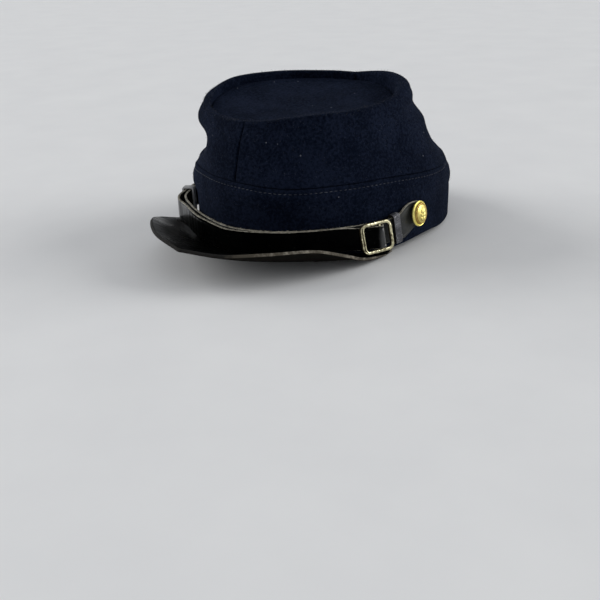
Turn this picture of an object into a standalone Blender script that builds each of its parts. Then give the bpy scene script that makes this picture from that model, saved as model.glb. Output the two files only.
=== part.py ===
"""Kepi, a soft forage cap: wool band and crown, leather visor and chin strap, brass fittings.

Metres, +Z up. The cap rests on the back of its rim and on the two temple corners of its visor.
The visor points along -Y and the wearer's left is +X. Angles run round the head from the middle
of the front (0) towards the wearer's left (+90) and the back (180), in degrees.
"""

import math
from typing import Callable, NamedTuple

import bmesh
import bpy
from mathutils import Matrix, Vector

UP = Vector((0.0, 0.0, 1.0))

# The head that the cap fits, and where the middle of it lies behind the middle of the whole cap
HEAD_CENTRE_Y = 0.0275
HEAD_CENTRE = Vector((0.0, HEAD_CENTRE_Y, 0.0))
BAND_HALF_WIDTH = 0.0840
BAND_HALF_LENGTH = 0.1040

# Walls and the gap that separate pieces keep
GAP = 0.0003
BAND_WALL = 0.0028
CROWN_WALL = 0.0020
LEATHER_WALL = 0.0022
STRAP_WALL = 0.0016
KEEPER_WALL = 0.0014

# A short upright strip along each cut edge of the cloth keeps that edge square to its wall
EDGE_STRIP = 0.0015
# Below this share of its height the band is a plain upright wall
BAND_PLAIN_SHARE = 0.45

# The crown's sunk top
MIDDLE_DEPTH = 0.0042
TOP_CLEARANCE = 0.0006
TOP_SAG = 0.0020
# Half the space at the front and back seams, which the inner face of the wall partly takes up
SEAM_HALF_GAP = 0.0003

# The visor's root reaches under the band's wall as far as this angle on either side
VISOR_END_ANGLE = 68.0
VISOR_CURL = 1.32

# Buttons, 17 mm across, with a shank through the strap and the band
BUTTON_ANGLE = 79.3
BUTTON_Z = 0.0230
BUTTON_RADIUS = 0.0085
BUTTON_RIM = 0.0008
BUTTON_EDGE = 0.0012
BUTTON_DOME = 0.0030
BUTTON_STAND_OFF = 0.0033
BUTTON_TURN = 6.5
SHANK_RADIUS = 0.0018
SHANK_END_INSET = 0.0003
SHANK_HOLE_RADIUS = 0.0024
HOLE_REACH = 0.0060

# The brass slide: two end bars and a middle bar that the strap's end folds round. Its lower side
# leans out from the band and lies a little further back than its upper side.
SLIDE_FRONT_ANGLE = 51.9
SLIDE_FRONT_STAND_OFF = 0.0093
SLIDE_FRONT_Z = 0.0166
SLIDE_BACK_ANGLE = 64.2
SLIDE_BACK_STAND_OFF = 0.0064
SLIDE_BACK_Z = 0.0164
SLIDE_LEAN = 6.0
SLIDE_RACK = 7.0
SLIDE_HEIGHT = 0.0184
SLIDE_CORNER = 0.0036
SLIDE_WIRE_RADIUS = 0.0013
SLIDE_BAR_SHARE = 0.62
SLIDE_BAR_RADIUS = 0.0011
FOLD_RETURN = (0.0070, 0.0088, 0.0104)
# How much of the slide's lean the strap's last points take on, from the slide back
LEAN_SHARES = (1.0, 0.6, 0.25)

# The leather loops that hold the straps together
KEEPER_LEFT_LENGTH = 0.0054
KEEPER_RIGHT_LENGTH = 0.0050
KEEPER_CLEARANCE = 0.0007
KEEPER_CORNER = 0.0006
KEEPER_HALF_TURN = 1.5
KEEPER_LEFT_ANGLE = 67.9
KEEPER_RIGHT_ANGLE = -56.0


class Section(NamedTuple):
    """One level section of the crown's side, by its share of the way from the seam to the lip."""

    share: float
    half_width: float
    front_y: float
    back_y: float
    front_z: float
    back_z: float


class Fold(NamedTuple):
    """A dent (depth below 0) or a swell of a cloth wall, and how far it spreads."""

    angle: float
    share: float
    depth: float
    half_angle: float
    half_share: float
    slope: float


class RimStation(NamedTuple):
    """How high the rim is above the surface, on both sides alike."""

    angle: float
    rise: float


class SeamStation(NamedTuple):
    """How far the band seam stands out from a true oval, and how far it drops, round the head."""

    angle: float
    stand_out: float
    drop: float


class LipStation(NamedTuple):
    """How far the soft lip stands out from its oval and rises over its plane, its roll, and how far
    it turns down inside, round the head."""

    angle: float
    stand_out: float
    rise: float
    radius: float
    depth: float


class VisorStation(NamedTuple):
    """Where the visor's edge lies for one angle of its root, and its height on either side."""

    root_angle: float
    across: float
    edge_y: float
    left_z: float
    right_z: float


class StrapStation(NamedTuple):
    """The middle of a strap's thickness and of its width at one angle."""

    angle: float
    stand_off: float
    middle_z: float
    width: float


class StrapPoint(NamedTuple):
    """A point of a strap's middle line, with its width there and the direction across it."""

    middle: Vector
    width: float
    up: Vector = UP


CROWN_SECTIONS = (
    Section(0.00, 0.0840, -0.1017, 0.0975, 0.0526, 0.0421),
    Section(0.33, 0.0775, -0.0995, 0.0755, 0.0640, 0.0600),
    Section(0.66, 0.0710, -0.0960, 0.0590, 0.0760, 0.0800),
    Section(1.00, 0.0660, -0.0910, 0.0420, 0.0855, 0.0980),
)
CROWN_FOLDS = (
    Fold(-58.0, 0.44, -0.0100, 34.0, 0.32, 0.0),
    Fold(-60.0, 0.82, 0.0040, 34.0, 0.30, 0.0),
    Fold(75.0, 0.50, -0.0030, 26.0, 0.45, 0.010),
    Fold(122.0, 0.60, 0.0020, 48.0, 0.42, 0.0),
    Fold(-50.0, 0.13, -0.0022, 40.0, 0.22, 0.0),
    Fold(118.0, 0.78, -0.0038, 38.0, 0.20, 0.0),
)
BAND_SWELLS = (
    Fold(-46.0, 0.78, 0.0025, 30.0, 0.22, 0.0),
    Fold(10.0, 0.82, 0.0012, 50.0, 0.18, 0.0),
    Fold(123.0, 0.76, 0.0022, 40.0, 0.22, 0.0),
)
# The front of the rim, and its sides over the ears, rise from the surface the back lies on
RIM_STATIONS = (
    RimStation(0.0, 0.0076),
    RimStation(30.0, 0.0066),
    RimStation(50.0, 0.0046),
    RimStation(68.0, 0.0034),
    RimStation(84.0, 0.0050),
    RimStation(92.0, 0.0047),
    RimStation(102.0, 0.0027),
    RimStation(116.0, 0.0017),
    RimStation(140.0, 0.0),
    RimStation(180.0, 0.0),
)
SEAM_STATIONS = (
    SeamStation(-180.0, 0.0, 0.0),
    SeamStation(-90.0, 0.0, 0.0),
    SeamStation(-52.0, 0.0014, 0.0),
    SeamStation(-26.0, -0.0013, -0.0005),
    SeamStation(0.0, 0.0005, 0.0),
    SeamStation(24.0, 0.0030, 0.0013),
    SeamStation(46.0, 0.0, 0.0),
    SeamStation(70.0, -0.0022, -0.0009),
    SeamStation(96.0, 0.0005, 0.0003),
    SeamStation(125.0, -0.0012, 0.0),
    SeamStation(150.0, -0.0006, 0.0),
    SeamStation(180.0, 0.0, 0.0),
)
LIP_STATIONS = (
    LipStation(-180.0, 0.0005, 0.0010, 0.0026, 0.0046),
    LipStation(-150.0, 0.0005, 0.0025, 0.0026, 0.0048),
    LipStation(-120.0, 0.0026, 0.0052, 0.0026, 0.0052),
    LipStation(-96.0, 0.0048, 0.0066, 0.0026, 0.0054),
    LipStation(-75.0, 0.0034, 0.0046, 0.0026, 0.0050),
    LipStation(-50.0, 0.0010, 0.0020, 0.0026, 0.0044),
    LipStation(-25.0, 0.0, 0.0004, 0.0026, 0.0042),
    LipStation(0.0, 0.0, 0.0006, 0.0026, 0.0046),
    LipStation(15.0, 0.0, 0.0018, 0.0026, 0.0056),
    LipStation(30.0, 0.0, 0.0034, 0.0026, 0.0068),
    LipStation(45.0, 0.0, 0.0038, 0.0026, 0.0072),
    LipStation(60.0, 0.0, 0.0026, 0.0027, 0.0064),
    LipStation(75.0, 0.0004, 0.0018, 0.0028, 0.0058),
    LipStation(100.0, 0.0026, 0.0010, 0.0038, 0.0058),
    LipStation(116.0, 0.0050, 0.0012, 0.0052, 0.0066),
    LipStation(132.0, 0.0052, 0.0026, 0.0052, 0.0076),
    LipStation(150.0, 0.0032, 0.0036, 0.0040, 0.0074),
    LipStation(168.0, 0.0010, 0.0026, 0.0028, 0.0060),
    LipStation(180.0, 0.0005, 0.0010, 0.0026, 0.0046),
)
VISOR_STATIONS = (
    VisorStation(0.0, 0.0, -0.1580, 0.0255, 0.0255),
    VisorStation(15.0, 0.0258, -0.1498, 0.0237, 0.0288),
    VisorStation(30.0, 0.0475, -0.1316, 0.0230, 0.0293),
    VisorStation(42.0, 0.0645, -0.1085, 0.0208, 0.0218),
    VisorStation(52.0, 0.0728, -0.0884, 0.0134, 0.0146),
    VisorStation(60.0, 0.0770, -0.0717, 0.0066, 0.0090),
    VisorStation(68.0, 0.0795, -0.0480, 0.0022, 0.0022),
)
# From the left button, under the slide and the outer strap, to a free end past the right keeper
INNER_STRAP = (
    StrapStation(-67.0, 0.0042, 0.0209, 0.0148),
    StrapStation(-63.5, 0.0063, 0.0208, 0.0148),
    StrapStation(-60.0, 0.0077, 0.0206, 0.0148),
    StrapStation(-55.0, 0.0084, 0.0205, 0.0148),
    StrapStation(-49.0, 0.0096, 0.0201, 0.0148),
    StrapStation(-44.0, 0.0083, 0.0194, 0.0148),
    StrapStation(-38.0, 0.0058, 0.0187, 0.0148),
    StrapStation(-32.0, 0.0038, 0.0180, 0.0148),
    StrapStation(-26.0, 0.0024, 0.0175, 0.0148),
    StrapStation(-17.0, 0.0016, 0.0171, 0.0148),
    StrapStation(-10.0, 0.0023, 0.0169, 0.0148),
    StrapStation(0.0, 0.0037, 0.0169, 0.0148),
    StrapStation(15.0, 0.0028, 0.0167, 0.0148),
    StrapStation(35.0, 0.0015, 0.0168, 0.0150),
    StrapStation(50.0, 0.0012, 0.0168, 0.0152),
    StrapStation(60.0, 0.0015, 0.0167, 0.0154),
    StrapStation(63.8, 0.0020, 0.0168, 0.0156),
    StrapStation(66.4, 0.0029, 0.0173, 0.0162),
    StrapStation(69.8, 0.0030, 0.0183, 0.0170),
    StrapStation(72.8, 0.0021, 0.0196, 0.0206),
    StrapStation(76.0, 0.0014, 0.0214, 0.0200),
    StrapStation(79.3, 0.0013, 0.0230, 0.0164),
)
# From the right button to the slide, where it folds back
OUTER_STRAP = (
    StrapStation(-79.3, 0.0013, 0.0230, 0.0164),
    StrapStation(-76.0, 0.0014, 0.0226, 0.0180),
    StrapStation(-71.0, 0.0038, 0.0219, 0.0172),
    StrapStation(-65.0, 0.0082, 0.0212, 0.0152),
    StrapStation(-60.0, 0.0105, 0.0207, 0.0148),
    StrapStation(-55.0, 0.0118, 0.0205, 0.0148),
    StrapStation(-49.0, 0.0142, 0.0200, 0.0148),
    StrapStation(-44.5, 0.0136, 0.0194, 0.0148),
    StrapStation(-40.0, 0.0106, 0.0190, 0.0148),
    StrapStation(-36.0, 0.0083, 0.0185, 0.0148),
    StrapStation(-31.0, 0.0070, 0.0180, 0.0148),
    StrapStation(-23.0, 0.0059, 0.0173, 0.0148),
    StrapStation(-15.0, 0.0052, 0.0170, 0.0148),
    StrapStation(-7.0, 0.0065, 0.0169, 0.0148),
    StrapStation(0.0, 0.0080, 0.0169, 0.0148),
    StrapStation(12.0, 0.0056, 0.0168, 0.0148),
    StrapStation(25.0, 0.0042, 0.0169, 0.0148),
    StrapStation(38.0, 0.0036, 0.0173, 0.0150),
    StrapStation(46.0, 0.0048, 0.0174, 0.0151),
    StrapStation(51.8, 0.0062, 0.0167, 0.0147),
)

# How finely the shapes are cut
BAND_SEGMENTS = 56
BAND_ROWS = 6
CROWN_SEGMENTS = 27
CROWN_ROWS = 8
LIP_STEPS = 4
TOP_RINGS = 3
VISOR_SEGMENTS = 28
VISOR_ROWS = 6
STRAP_SPACING = 0.0055
STRAP_ROWS = 2
FOLD_STEPS = 6
END_TURNS = (0.0, 35.0, 60.0, 80.0)
ROUND_SIDES = 24
HOLE_SIDES = 12
BAR_SIDES = 10
WIRE_RESOLUTION = 2
CORNER_STEPS = 3
DOME_STEPS = 5

COLOURS = {
    "wool": ((0.010, 0.011, 0.020), 0.95, 0.0),
    "black_leather": ((0.015, 0.014, 0.015), 0.35, 0.0),
    "brass": ((0.62, 0.50, 0.27), 0.35, 1.0),
    "gilt_brass": ((0.80, 0.55, 0.18), 0.30, 1.0),
}

# Curves and surfaces, measured from the middle of the head


def blend(table: tuple, at: float) -> NamedTuple:
    """The row of a table at a value of its first column, on a smooth curve through its rows."""
    keys = [row[0] for row in table]
    at = min(max(at, keys[0]), keys[-1])
    last = len(table) - 1
    low = max(i for i in range(last) if keys[i] <= at)
    high = low + 1
    span = keys[high] - keys[low]
    t = (at - keys[low]) / span

    def slope(i: int, column: int) -> float:
        before, after = max(i - 1, 0), min(i + 1, last)
        return (table[after][column] - table[before][column]) / (keys[after] - keys[before])

    values = []
    for column in range(1, len(table[0])):
        start, end = table[low][column], table[high][column]
        leave, arrive = slope(low, column) * span, slope(high, column) * span
        bend = 3 * (end - start) - 2 * leave - arrive
        twist = 2 * (start - end) + leave + arrive
        values.append(start + t * (leave + t * (bend + t * twist)))
    return type(table[0])(at, *values)


def ease(t: float) -> float:
    """A step from 0 to 1 with soft ends."""
    t = min(max(t, 0.0), 1.0)
    return t * t * (3 - 2 * t)


def bump(x: float) -> float:
    """A soft hill of height 1 at 0 that ends at -1 and 1."""
    return (1 - x * x) ** 2 if abs(x) < 1 else 0.0


def folds_out(folds: tuple, angle: float, share: float) -> float:
    """How far a table of folds pushes a wall out at one place."""
    out = 0.0
    for fold in folds:
        turn = angle - fold.angle
        rise = share - fold.share - fold.slope * turn
        out += fold.depth * bump(turn / fold.half_angle) * bump(rise / fold.half_share)
    return out


def oval(angle: float, half_width: float, front_y: float, back_y: float) -> tuple:
    """A point of a level oval and its outward direction."""
    a = math.radians(angle)
    half_length = (back_y - front_y) / 2
    centre = (back_y + front_y) / 2
    point = Vector((half_width * math.sin(a), centre - half_length * math.cos(a), 0.0))
    outward = Vector((math.sin(a) / half_width, -math.cos(a) / half_length, 0.0)).normalized()
    return point, outward


def wall_frame(angle: float) -> tuple:
    """A point of the plain part of the band's outer face, at z 0, and its outward direction."""
    return oval(angle, BAND_HALF_WIDTH, -BAND_HALF_LENGTH, BAND_HALF_LENGTH)


def off_wall(angle: float, stand_off: float, z: float) -> Vector:
    """A point at a distance from the band's outer face."""
    point, outward = wall_frame(angle)
    return point + outward * stand_off + UP * z


def rim_z(angle: float) -> float:
    """The height of the band's lower edge."""
    return max(blend(RIM_STATIONS, abs(angle)).rise, 0.0)


def seam_z(y: float) -> float:
    """The height of the band seam's plane, which tilts up to the front."""
    seam = CROWN_SECTIONS[0]
    share = (y - seam.front_y) / (seam.back_y - seam.front_y)
    return seam.front_z + (seam.back_z - seam.front_z) * share


def band_point(angle: float, share: float) -> Vector:
    """A point of the band's outer face, from the rim (share 0) to the seam (share 1)."""
    seam, section = blend(SEAM_STATIONS, angle), CROWN_SECTIONS[0]
    rise = ease((share - BAND_PLAIN_SHARE) / (1 - BAND_PLAIN_SHARE))
    front_y = -BAND_HALF_LENGTH + (section.front_y + BAND_HALF_LENGTH) * rise
    back_y = BAND_HALF_LENGTH + (section.back_y - BAND_HALF_LENGTH) * rise
    point, outward = oval(angle, BAND_HALF_WIDTH, front_y, back_y)
    low, high = rim_z(angle), seam_z(point.y) - seam.drop
    point.z = low + (high - low) * share
    return point + outward * (seam.stand_out * rise + folds_out(BAND_SWELLS, angle, share))


def crown_point(angle: float, share: float) -> Vector:
    """A point of the crown's outer face, from the band seam (share 0) to the lip (share 1)."""
    section = blend(CROWN_SECTIONS, share)
    point, outward = oval(angle, section.half_width, section.front_y, section.back_y)
    along = (point.y - section.front_y) / (section.back_y - section.front_y)
    seam, lip = blend(SEAM_STATIONS, angle), blend(LIP_STATIONS, angle)
    near_seam, near_lip = 1 - ease(share / 0.5), ease((share - 0.4) / 0.6)
    point.z = section.front_z + (section.back_z - section.front_z) * along
    point.z += lip.rise * near_lip - seam.drop * near_seam
    out = seam.stand_out * near_seam + lip.stand_out * near_lip
    return point + outward * (out + folds_out(CROWN_FOLDS, angle, share))


def lip_frame(angle: float) -> tuple:
    """The top of the crown's side at one angle, the direction away from the middle and the lip."""
    section = CROWN_SECTIONS[-1]
    _, outward = oval(angle, section.half_width, section.front_y, section.back_y)
    return crown_point(angle, 1.0), outward, blend(LIP_STATIONS, angle)


def visor_point(angle: float, share: float) -> Vector:
    """A point of the visor's upper face, from the band's outer face (share 0) to its edge (1)."""
    station = blend(VISOR_STATIONS, abs(angle))
    side = 1 if angle >= 0 else -1
    edge_z = station.left_z if side > 0 else station.right_z
    root, outward = wall_frame(angle)
    root.z = rim_z(angle) - GAP
    if share < 0:
        return root + outward * BAND_WALL * share
    point = root.lerp(Vector((side * station.across, station.edge_y, 0.0)), share)
    point.z = root.z + (edge_z - root.z) * share**VISOR_CURL
    return point


def rounded_rectangle(half_a: float, half_b: float, corner: float) -> list:
    """The outline of a rectangle with round corners, anticlockwise from its right side."""
    outline = []
    for quarter in range(4):
        sign_a, sign_b = ((1, 1), (-1, 1), (-1, -1), (1, -1))[quarter]
        for step in range(CORNER_STEPS + 1):
            turn = math.radians(90 * (quarter + step / CORNER_STEPS))
            a = sign_a * (half_a - corner) + corner * math.cos(turn)
            b = sign_b * (half_b - corner) + corner * math.sin(turn)
            outline.append((a, b))
    return outline


# Ways of making pieces


def new_object(name: str, data, collection: str = "kepi"):
    """Links a new object for a mesh or curve into a collection of this file."""
    thing = bpy.data.objects.new(name, data)
    bpy.data.collections[collection].objects.link(thing)
    return thing


def sheet(name: str, columns: int, rows: int, place: Callable, closed: bool = False):
    """A grid of columns by rows whose points are placed by a function of column and row."""
    mesh = bpy.data.meshes.new(name)
    shape = bmesh.new()
    bmesh.ops.create_grid(shape, x_segments=columns, y_segments=rows, size=0.5)
    for vert in shape.verts:
        column = round((vert.co.x + 0.5) * columns)
        row = round((vert.co.y + 0.5) * rows)
        vert.co = place(column, row) + HEAD_CENTRE
    if closed:
        bmesh.ops.remove_doubles(shape, verts=shape.verts, dist=0.00001)
    shape.to_mesh(mesh)
    shape.free()
    return new_object(name, mesh)


def rod(name: str, start: Vector, end: Vector, radius: float, sides: int):
    """A round cutter or bar between two points, kept apart from the pieces."""
    mesh = bpy.data.meshes.new(name)
    shape = bmesh.new()
    bmesh.ops.create_cone(
        shape, cap_ends=True, segments=sides, radius1=radius, radius2=radius, depth=(end - start).length
    )
    shape.to_mesh(mesh)
    shape.free()
    thing = new_object(name, mesh, "cutters")
    turn = (end - start).to_track_quat("Z", "Y").to_matrix().to_4x4()
    thing.matrix_world = Matrix.Translation((start + end) / 2 + HEAD_CENTRE) @ turn
    thing.hide_render = True
    thing.display_type = "WIRE"
    return thing


def as_mesh(curve):
    """Replaces a curve object by a closed mesh of the same shape."""
    evaluated = curve.evaluated_get(bpy.context.evaluated_depsgraph_get())
    mesh = bpy.data.meshes.new_from_object(evaluated)
    shape = bmesh.new()
    shape.from_mesh(mesh)
    bmesh.ops.remove_doubles(shape, verts=shape.verts, dist=0.00001)
    shape.to_mesh(mesh)
    shape.free()
    name, place = curve.name, curve.matrix_world.copy()
    bpy.data.objects.remove(curve, do_unlink=True)
    thing = new_object(name, mesh)
    thing.matrix_world = place
    return thing


def thicken(thing, wall: float, side: float) -> None:
    """Makes a sheet a wall: side -1 grows it under its face, 1 over it and 0 both ways."""
    solidify = thing.modifiers.new("wall", "SOLIDIFY")
    solidify.thickness = wall
    solidify.offset = side
    solidify.use_even_offset = True


def combine(thing, operation: str, other: str) -> None:
    """Joins another object to a piece, or takes it out of the piece."""
    boolean = thing.modifiers.new(other, "BOOLEAN")
    boolean.operation = operation
    boolean.solver = "EXACT"
    boolean.object = bpy.data.objects[other]


def dress(thing, colour: str) -> None:
    """Gives a piece its own plain material and smooth shading."""
    tint, roughness, metallic = COLOURS[colour]
    material = bpy.data.materials.new(thing.name)
    material.use_nodes = True
    shader = material.node_tree.nodes["Principled BSDF"]
    shader.inputs["Base Color"].default_value = (*tint, 1.0)
    shader.inputs["Roughness"].default_value = roughness
    shader.inputs["Metallic"].default_value = metallic
    thing.data.materials.clear()
    thing.data.materials.append(material)
    thing.data.shade_smooth()
    thing.data.set_sharp_from_angle(angle=math.radians(35))


# The cloth


def band() -> None:
    """The band: one upright wall of wool, with a hole for each button's shank."""

    def place(column: int, row: int) -> Vector:
        angle = -180 + 360 * column / BAND_SEGMENTS
        foot, top = band_point(angle, 0.0), band_point(angle, 1.0)
        if row == 0:
            return foot
        if row == 1:
            return foot + UP * EDGE_STRIP
        if row == BAND_ROWS - 1:
            return top - UP * EDGE_STRIP
        if row == BAND_ROWS:
            return top
        strip = EDGE_STRIP / (top.z - foot.z)
        return band_point(angle, strip + (1 - 2 * strip) * (row - 1) / (BAND_ROWS - 2))

    wall = sheet("band", BAND_SEGMENTS, BAND_ROWS, place, closed=True)
    thicken(wall, BAND_WALL, -1)
    combine(wall, "DIFFERENCE", "left_hole")
    combine(wall, "DIFFERENCE", "right_hole")
    dress(wall, "wool")


def crown_side(name: str, side: int) -> None:
    """Half of the crown's side, with its lip rolled over and turned down inside."""
    rows = CROWN_ROWS + LIP_STEPS + 1
    start = math.degrees(SEAM_HALF_GAP / BAND_HALF_WIDTH)

    def place(column: int, row: int) -> Vector:
        along = start + (180 - 2 * start) * column / CROWN_SEGMENTS
        angle = along if side > 0 else along - 180
        if row <= 1:
            return crown_point(angle, 0.0) + UP * (GAP + row * EDGE_STRIP)
        if row <= CROWN_ROWS:
            # The strip along the seam pushes the wall above it up, less and less
            lift = (GAP + EDGE_STRIP) * bump((row - 1) / 4)
            return crown_point(angle, (row - 1) / (CROWN_ROWS - 1)) + UP * lift
        top, outward, lip = lip_frame(angle)
        turn = math.pi * min(row - CROWN_ROWS, LIP_STEPS) / LIP_STEPS
        inwards = lip.radius * (1 - math.cos(turn))
        return top - outward * inwards + UP * (lip.radius * math.sin(turn) if row < rows else -lip.depth)

    wall = sheet(name, CROWN_SEGMENTS, rows, place)
    thicken(wall, CROWN_WALL, -1)
    dress(wall, "wool")


def crown_top() -> None:
    """The sunk oval top inside the lip."""
    ring_points = 2 * CROWN_SEGMENTS
    section = CROWN_SECTIONS[-1]
    middle_y = (section.front_y + section.back_y) / 2
    middle_z = (section.front_z + section.back_z) / 2
    middle = Vector((0.0, middle_y, middle_z + CROWN_WALL - MIDDLE_DEPTH))

    def place(column: int, row: int) -> Vector:
        top, outward, lip = lip_frame(-180 + 360 * column / ring_points)
        drop = UP * (lip.depth - CROWN_WALL)
        edge = top - outward * (2 * lip.radius + TOP_CLEARANCE) - drop
        share = row / TOP_RINGS
        return edge.lerp(middle, share) - UP * TOP_SAG * bump(1 - share)

    disc = sheet("crown_top", ring_points, TOP_RINGS, place, closed=True)
    thicken(disc, CROWN_WALL, -1)
    dress(disc, "wool")


# The leather


def visor() -> None:
    """The leather visor: a crescent that curls up to its edge."""

    def place(column: int, row: int) -> Vector:
        angle = VISOR_END_ANGLE * (2 * column / VISOR_SEGMENTS - 1)
        return visor_point(angle, -1.0 if row == VISOR_ROWS else 1 - row / (VISOR_ROWS - 1))

    plate = sheet("visor", VISOR_SEGMENTS, VISOR_ROWS, place)
    thicken(plate, LEATHER_WALL, -1)
    dress(plate, "black_leather")


def strap_run(table: tuple) -> list:
    """The points of a strap's middle line along its table, about STRAP_SPACING apart."""
    first, last = table[0].angle, table[-1].angle
    steps = round(BAND_HALF_LENGTH * math.radians(last - first) / STRAP_SPACING)
    points = []
    for step in range(steps + 1):
        row = blend(table, first + (last - first) * step / steps)
        points.append(StrapPoint(off_wall(row.angle, row.stand_off, row.middle_z), row.width))
    return points


def round_end(start: StrapPoint, side: int) -> list:
    """Carries a strap on past its button in a half round end, from the tip inwards."""
    _, outward = wall_frame(side * BUTTON_ANGLE)
    away = UP.cross(outward) * side
    radius = start.width / 2
    points = []
    for degrees in END_TURNS:
        turn = math.radians(degrees)
        width = 2 * radius * max(math.sin(turn), 0.25)
        points.append(StrapPoint(start.middle + away * radius * math.cos(turn), width))
    return points


def ribbon(name: str, points: list) -> None:
    """A flat leather strap on edge along a list of points."""

    def place(column: int, row: int) -> Vector:
        point = points[column]
        return point.middle + point.up * point.width * (row / STRAP_ROWS - 0.5)

    strap = sheet(name, len(points) - 1, STRAP_ROWS, place)
    thicken(strap, STRAP_WALL, 0)
    dress(strap, "black_leather")


def chin_strap_inner() -> None:
    """The strap of the left button, which lies under the slide and the outer strap."""
    run = strap_run(INNER_STRAP)
    tip = round_end(run[-1], 1)
    ribbon("chin_strap_inner", run + tip[::-1])
    combine(bpy.data.objects["chin_strap_inner"], "DIFFERENCE", "left_hole")


def slide_axes() -> tuple:
    """The middles of the slide's front and back bars, and its directions along, up and out."""
    front = off_wall(SLIDE_FRONT_ANGLE, SLIDE_FRONT_STAND_OFF, SLIDE_FRONT_Z)
    back = off_wall(SLIDE_BACK_ANGLE, SLIDE_BACK_STAND_OFF, SLIDE_BACK_Z)
    along = (back - front).normalized()
    upright = (UP - along * along.dot(UP)).normalized()
    leaning = Matrix.Rotation(math.radians(-SLIDE_LEAN), 3, along) @ upright
    up = (leaning - along * math.tan(math.radians(SLIDE_RACK))).normalized()
    return front, back, along, up, along.cross(up).normalized()


def chin_strap_outer() -> None:
    """The strap of the right button, across the front and folded back round the slide's bar."""
    run = strap_run(OUTER_STRAP)
    tip = round_end(run[0], -1)
    front, back, _, up, out = slide_axes()
    bar = front.lerp(back, SLIDE_BAR_SHARE)
    radius = SLIDE_BAR_RADIUS + 1.5 * GAP + STRAP_WALL / 2
    width = run[-1].width
    for before_slide, share in enumerate(LEAN_SHARES, start=1):
        point = run[-before_slide]
        run[-before_slide] = StrapPoint(point.middle, point.width, UP.lerp(up, share).normalized())
    fold = []
    for step in range(FOLD_STEPS + 1):
        turn = math.pi * step / FOLD_STEPS
        around = out * math.cos(turn) + up.cross(out) * math.sin(turn)
        fold.append(StrapPoint(bar + around * radius, width, up))
    # The turned end closes up to the strap from below and lies under it, short of the front bar
    away = (run[-1].middle - fold[0].middle).normalized()
    under = away.cross(up).normalized() * (STRAP_WALL + 2 * GAP)
    tail = [StrapPoint(fold[0].middle + away * reach + under, width, up) for reach in FOLD_RETURN]
    ribbon("chin_strap_outer", tip + run + fold + tail)
    combine(bpy.data.objects["chin_strap_outer"], "DIFFERENCE", "right_hole")


def keeper(name: str, angle: float, length: float, inner: tuple, outer: tuple) -> None:
    """A leather loop round the straps, from the inner face of one to the outer face of another."""
    inside, outside = blend(inner, angle), blend(outer, angle)
    before, after = blend(inner, angle - KEEPER_HALF_TURN), blend(inner, angle + KEEPER_HALF_TURN)
    low = inside.stand_off - STRAP_WALL / 2 - KEEPER_CLEARANCE
    high = outside.stand_off + STRAP_WALL / 2 + KEEPER_CLEARANCE
    half_depth = (high - low) / 2
    half_height = max(inside.width, outside.width) / 2 + KEEPER_CLEARANCE
    middle = off_wall(angle, (low + high) / 2, (inside.middle_z + outside.middle_z) / 2)
    start = off_wall(before.angle, before.stand_off, before.middle_z)
    along = (off_wall(after.angle, after.stand_off, after.middle_z) - start).normalized()
    up = (UP - along * along.dot(UP)).normalized()
    outward = along.cross(up)
    outline = rounded_rectangle(half_depth, half_height, KEEPER_CORNER)
    outline.append(outline[0])

    def place(column: int, row: int) -> Vector:
        a, b = outline[column]
        return middle + outward * a + up * b - along * length * (row - 0.5)

    loop = sheet(name, len(outline) - 1, 1, place, closed=True)
    thicken(loop, KEEPER_WALL, 1)
    dress(loop, "black_leather")


# The brass


def slide() -> None:
    """The slide buckle: a bent wire frame with a bar across it, one piece of brass."""
    front, back, along, up, _ = slide_axes()
    bar = front.lerp(back, SLIDE_BAR_SHARE)
    rod("slide_bar", bar - up * SLIDE_HEIGHT / 2, bar + up * SLIDE_HEIGHT / 2, SLIDE_BAR_RADIUS, BAR_SIDES)
    curve = bpy.data.curves.new("buckle", "CURVE")
    curve.dimensions = "3D"
    curve.bevel_depth = SLIDE_WIRE_RADIUS
    curve.bevel_resolution = WIRE_RESOLUTION
    outline = rounded_rectangle((back - front).length / 2, SLIDE_HEIGHT / 2, SLIDE_CORNER)
    middle = front.lerp(back, 0.5) + HEAD_CENTRE
    spline = curve.splines.new("POLY")
    spline.points.add(len(outline) - 1)
    spline.use_cyclic_u = True
    for point, (a, b) in zip(spline.points, outline):
        point.co = (*(middle + along * a + up * b), 1.0)
    frame = as_mesh(new_object("buckle", curve))
    combine(frame, "UNION", "slide_bar")
    dress(frame, "brass")


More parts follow.
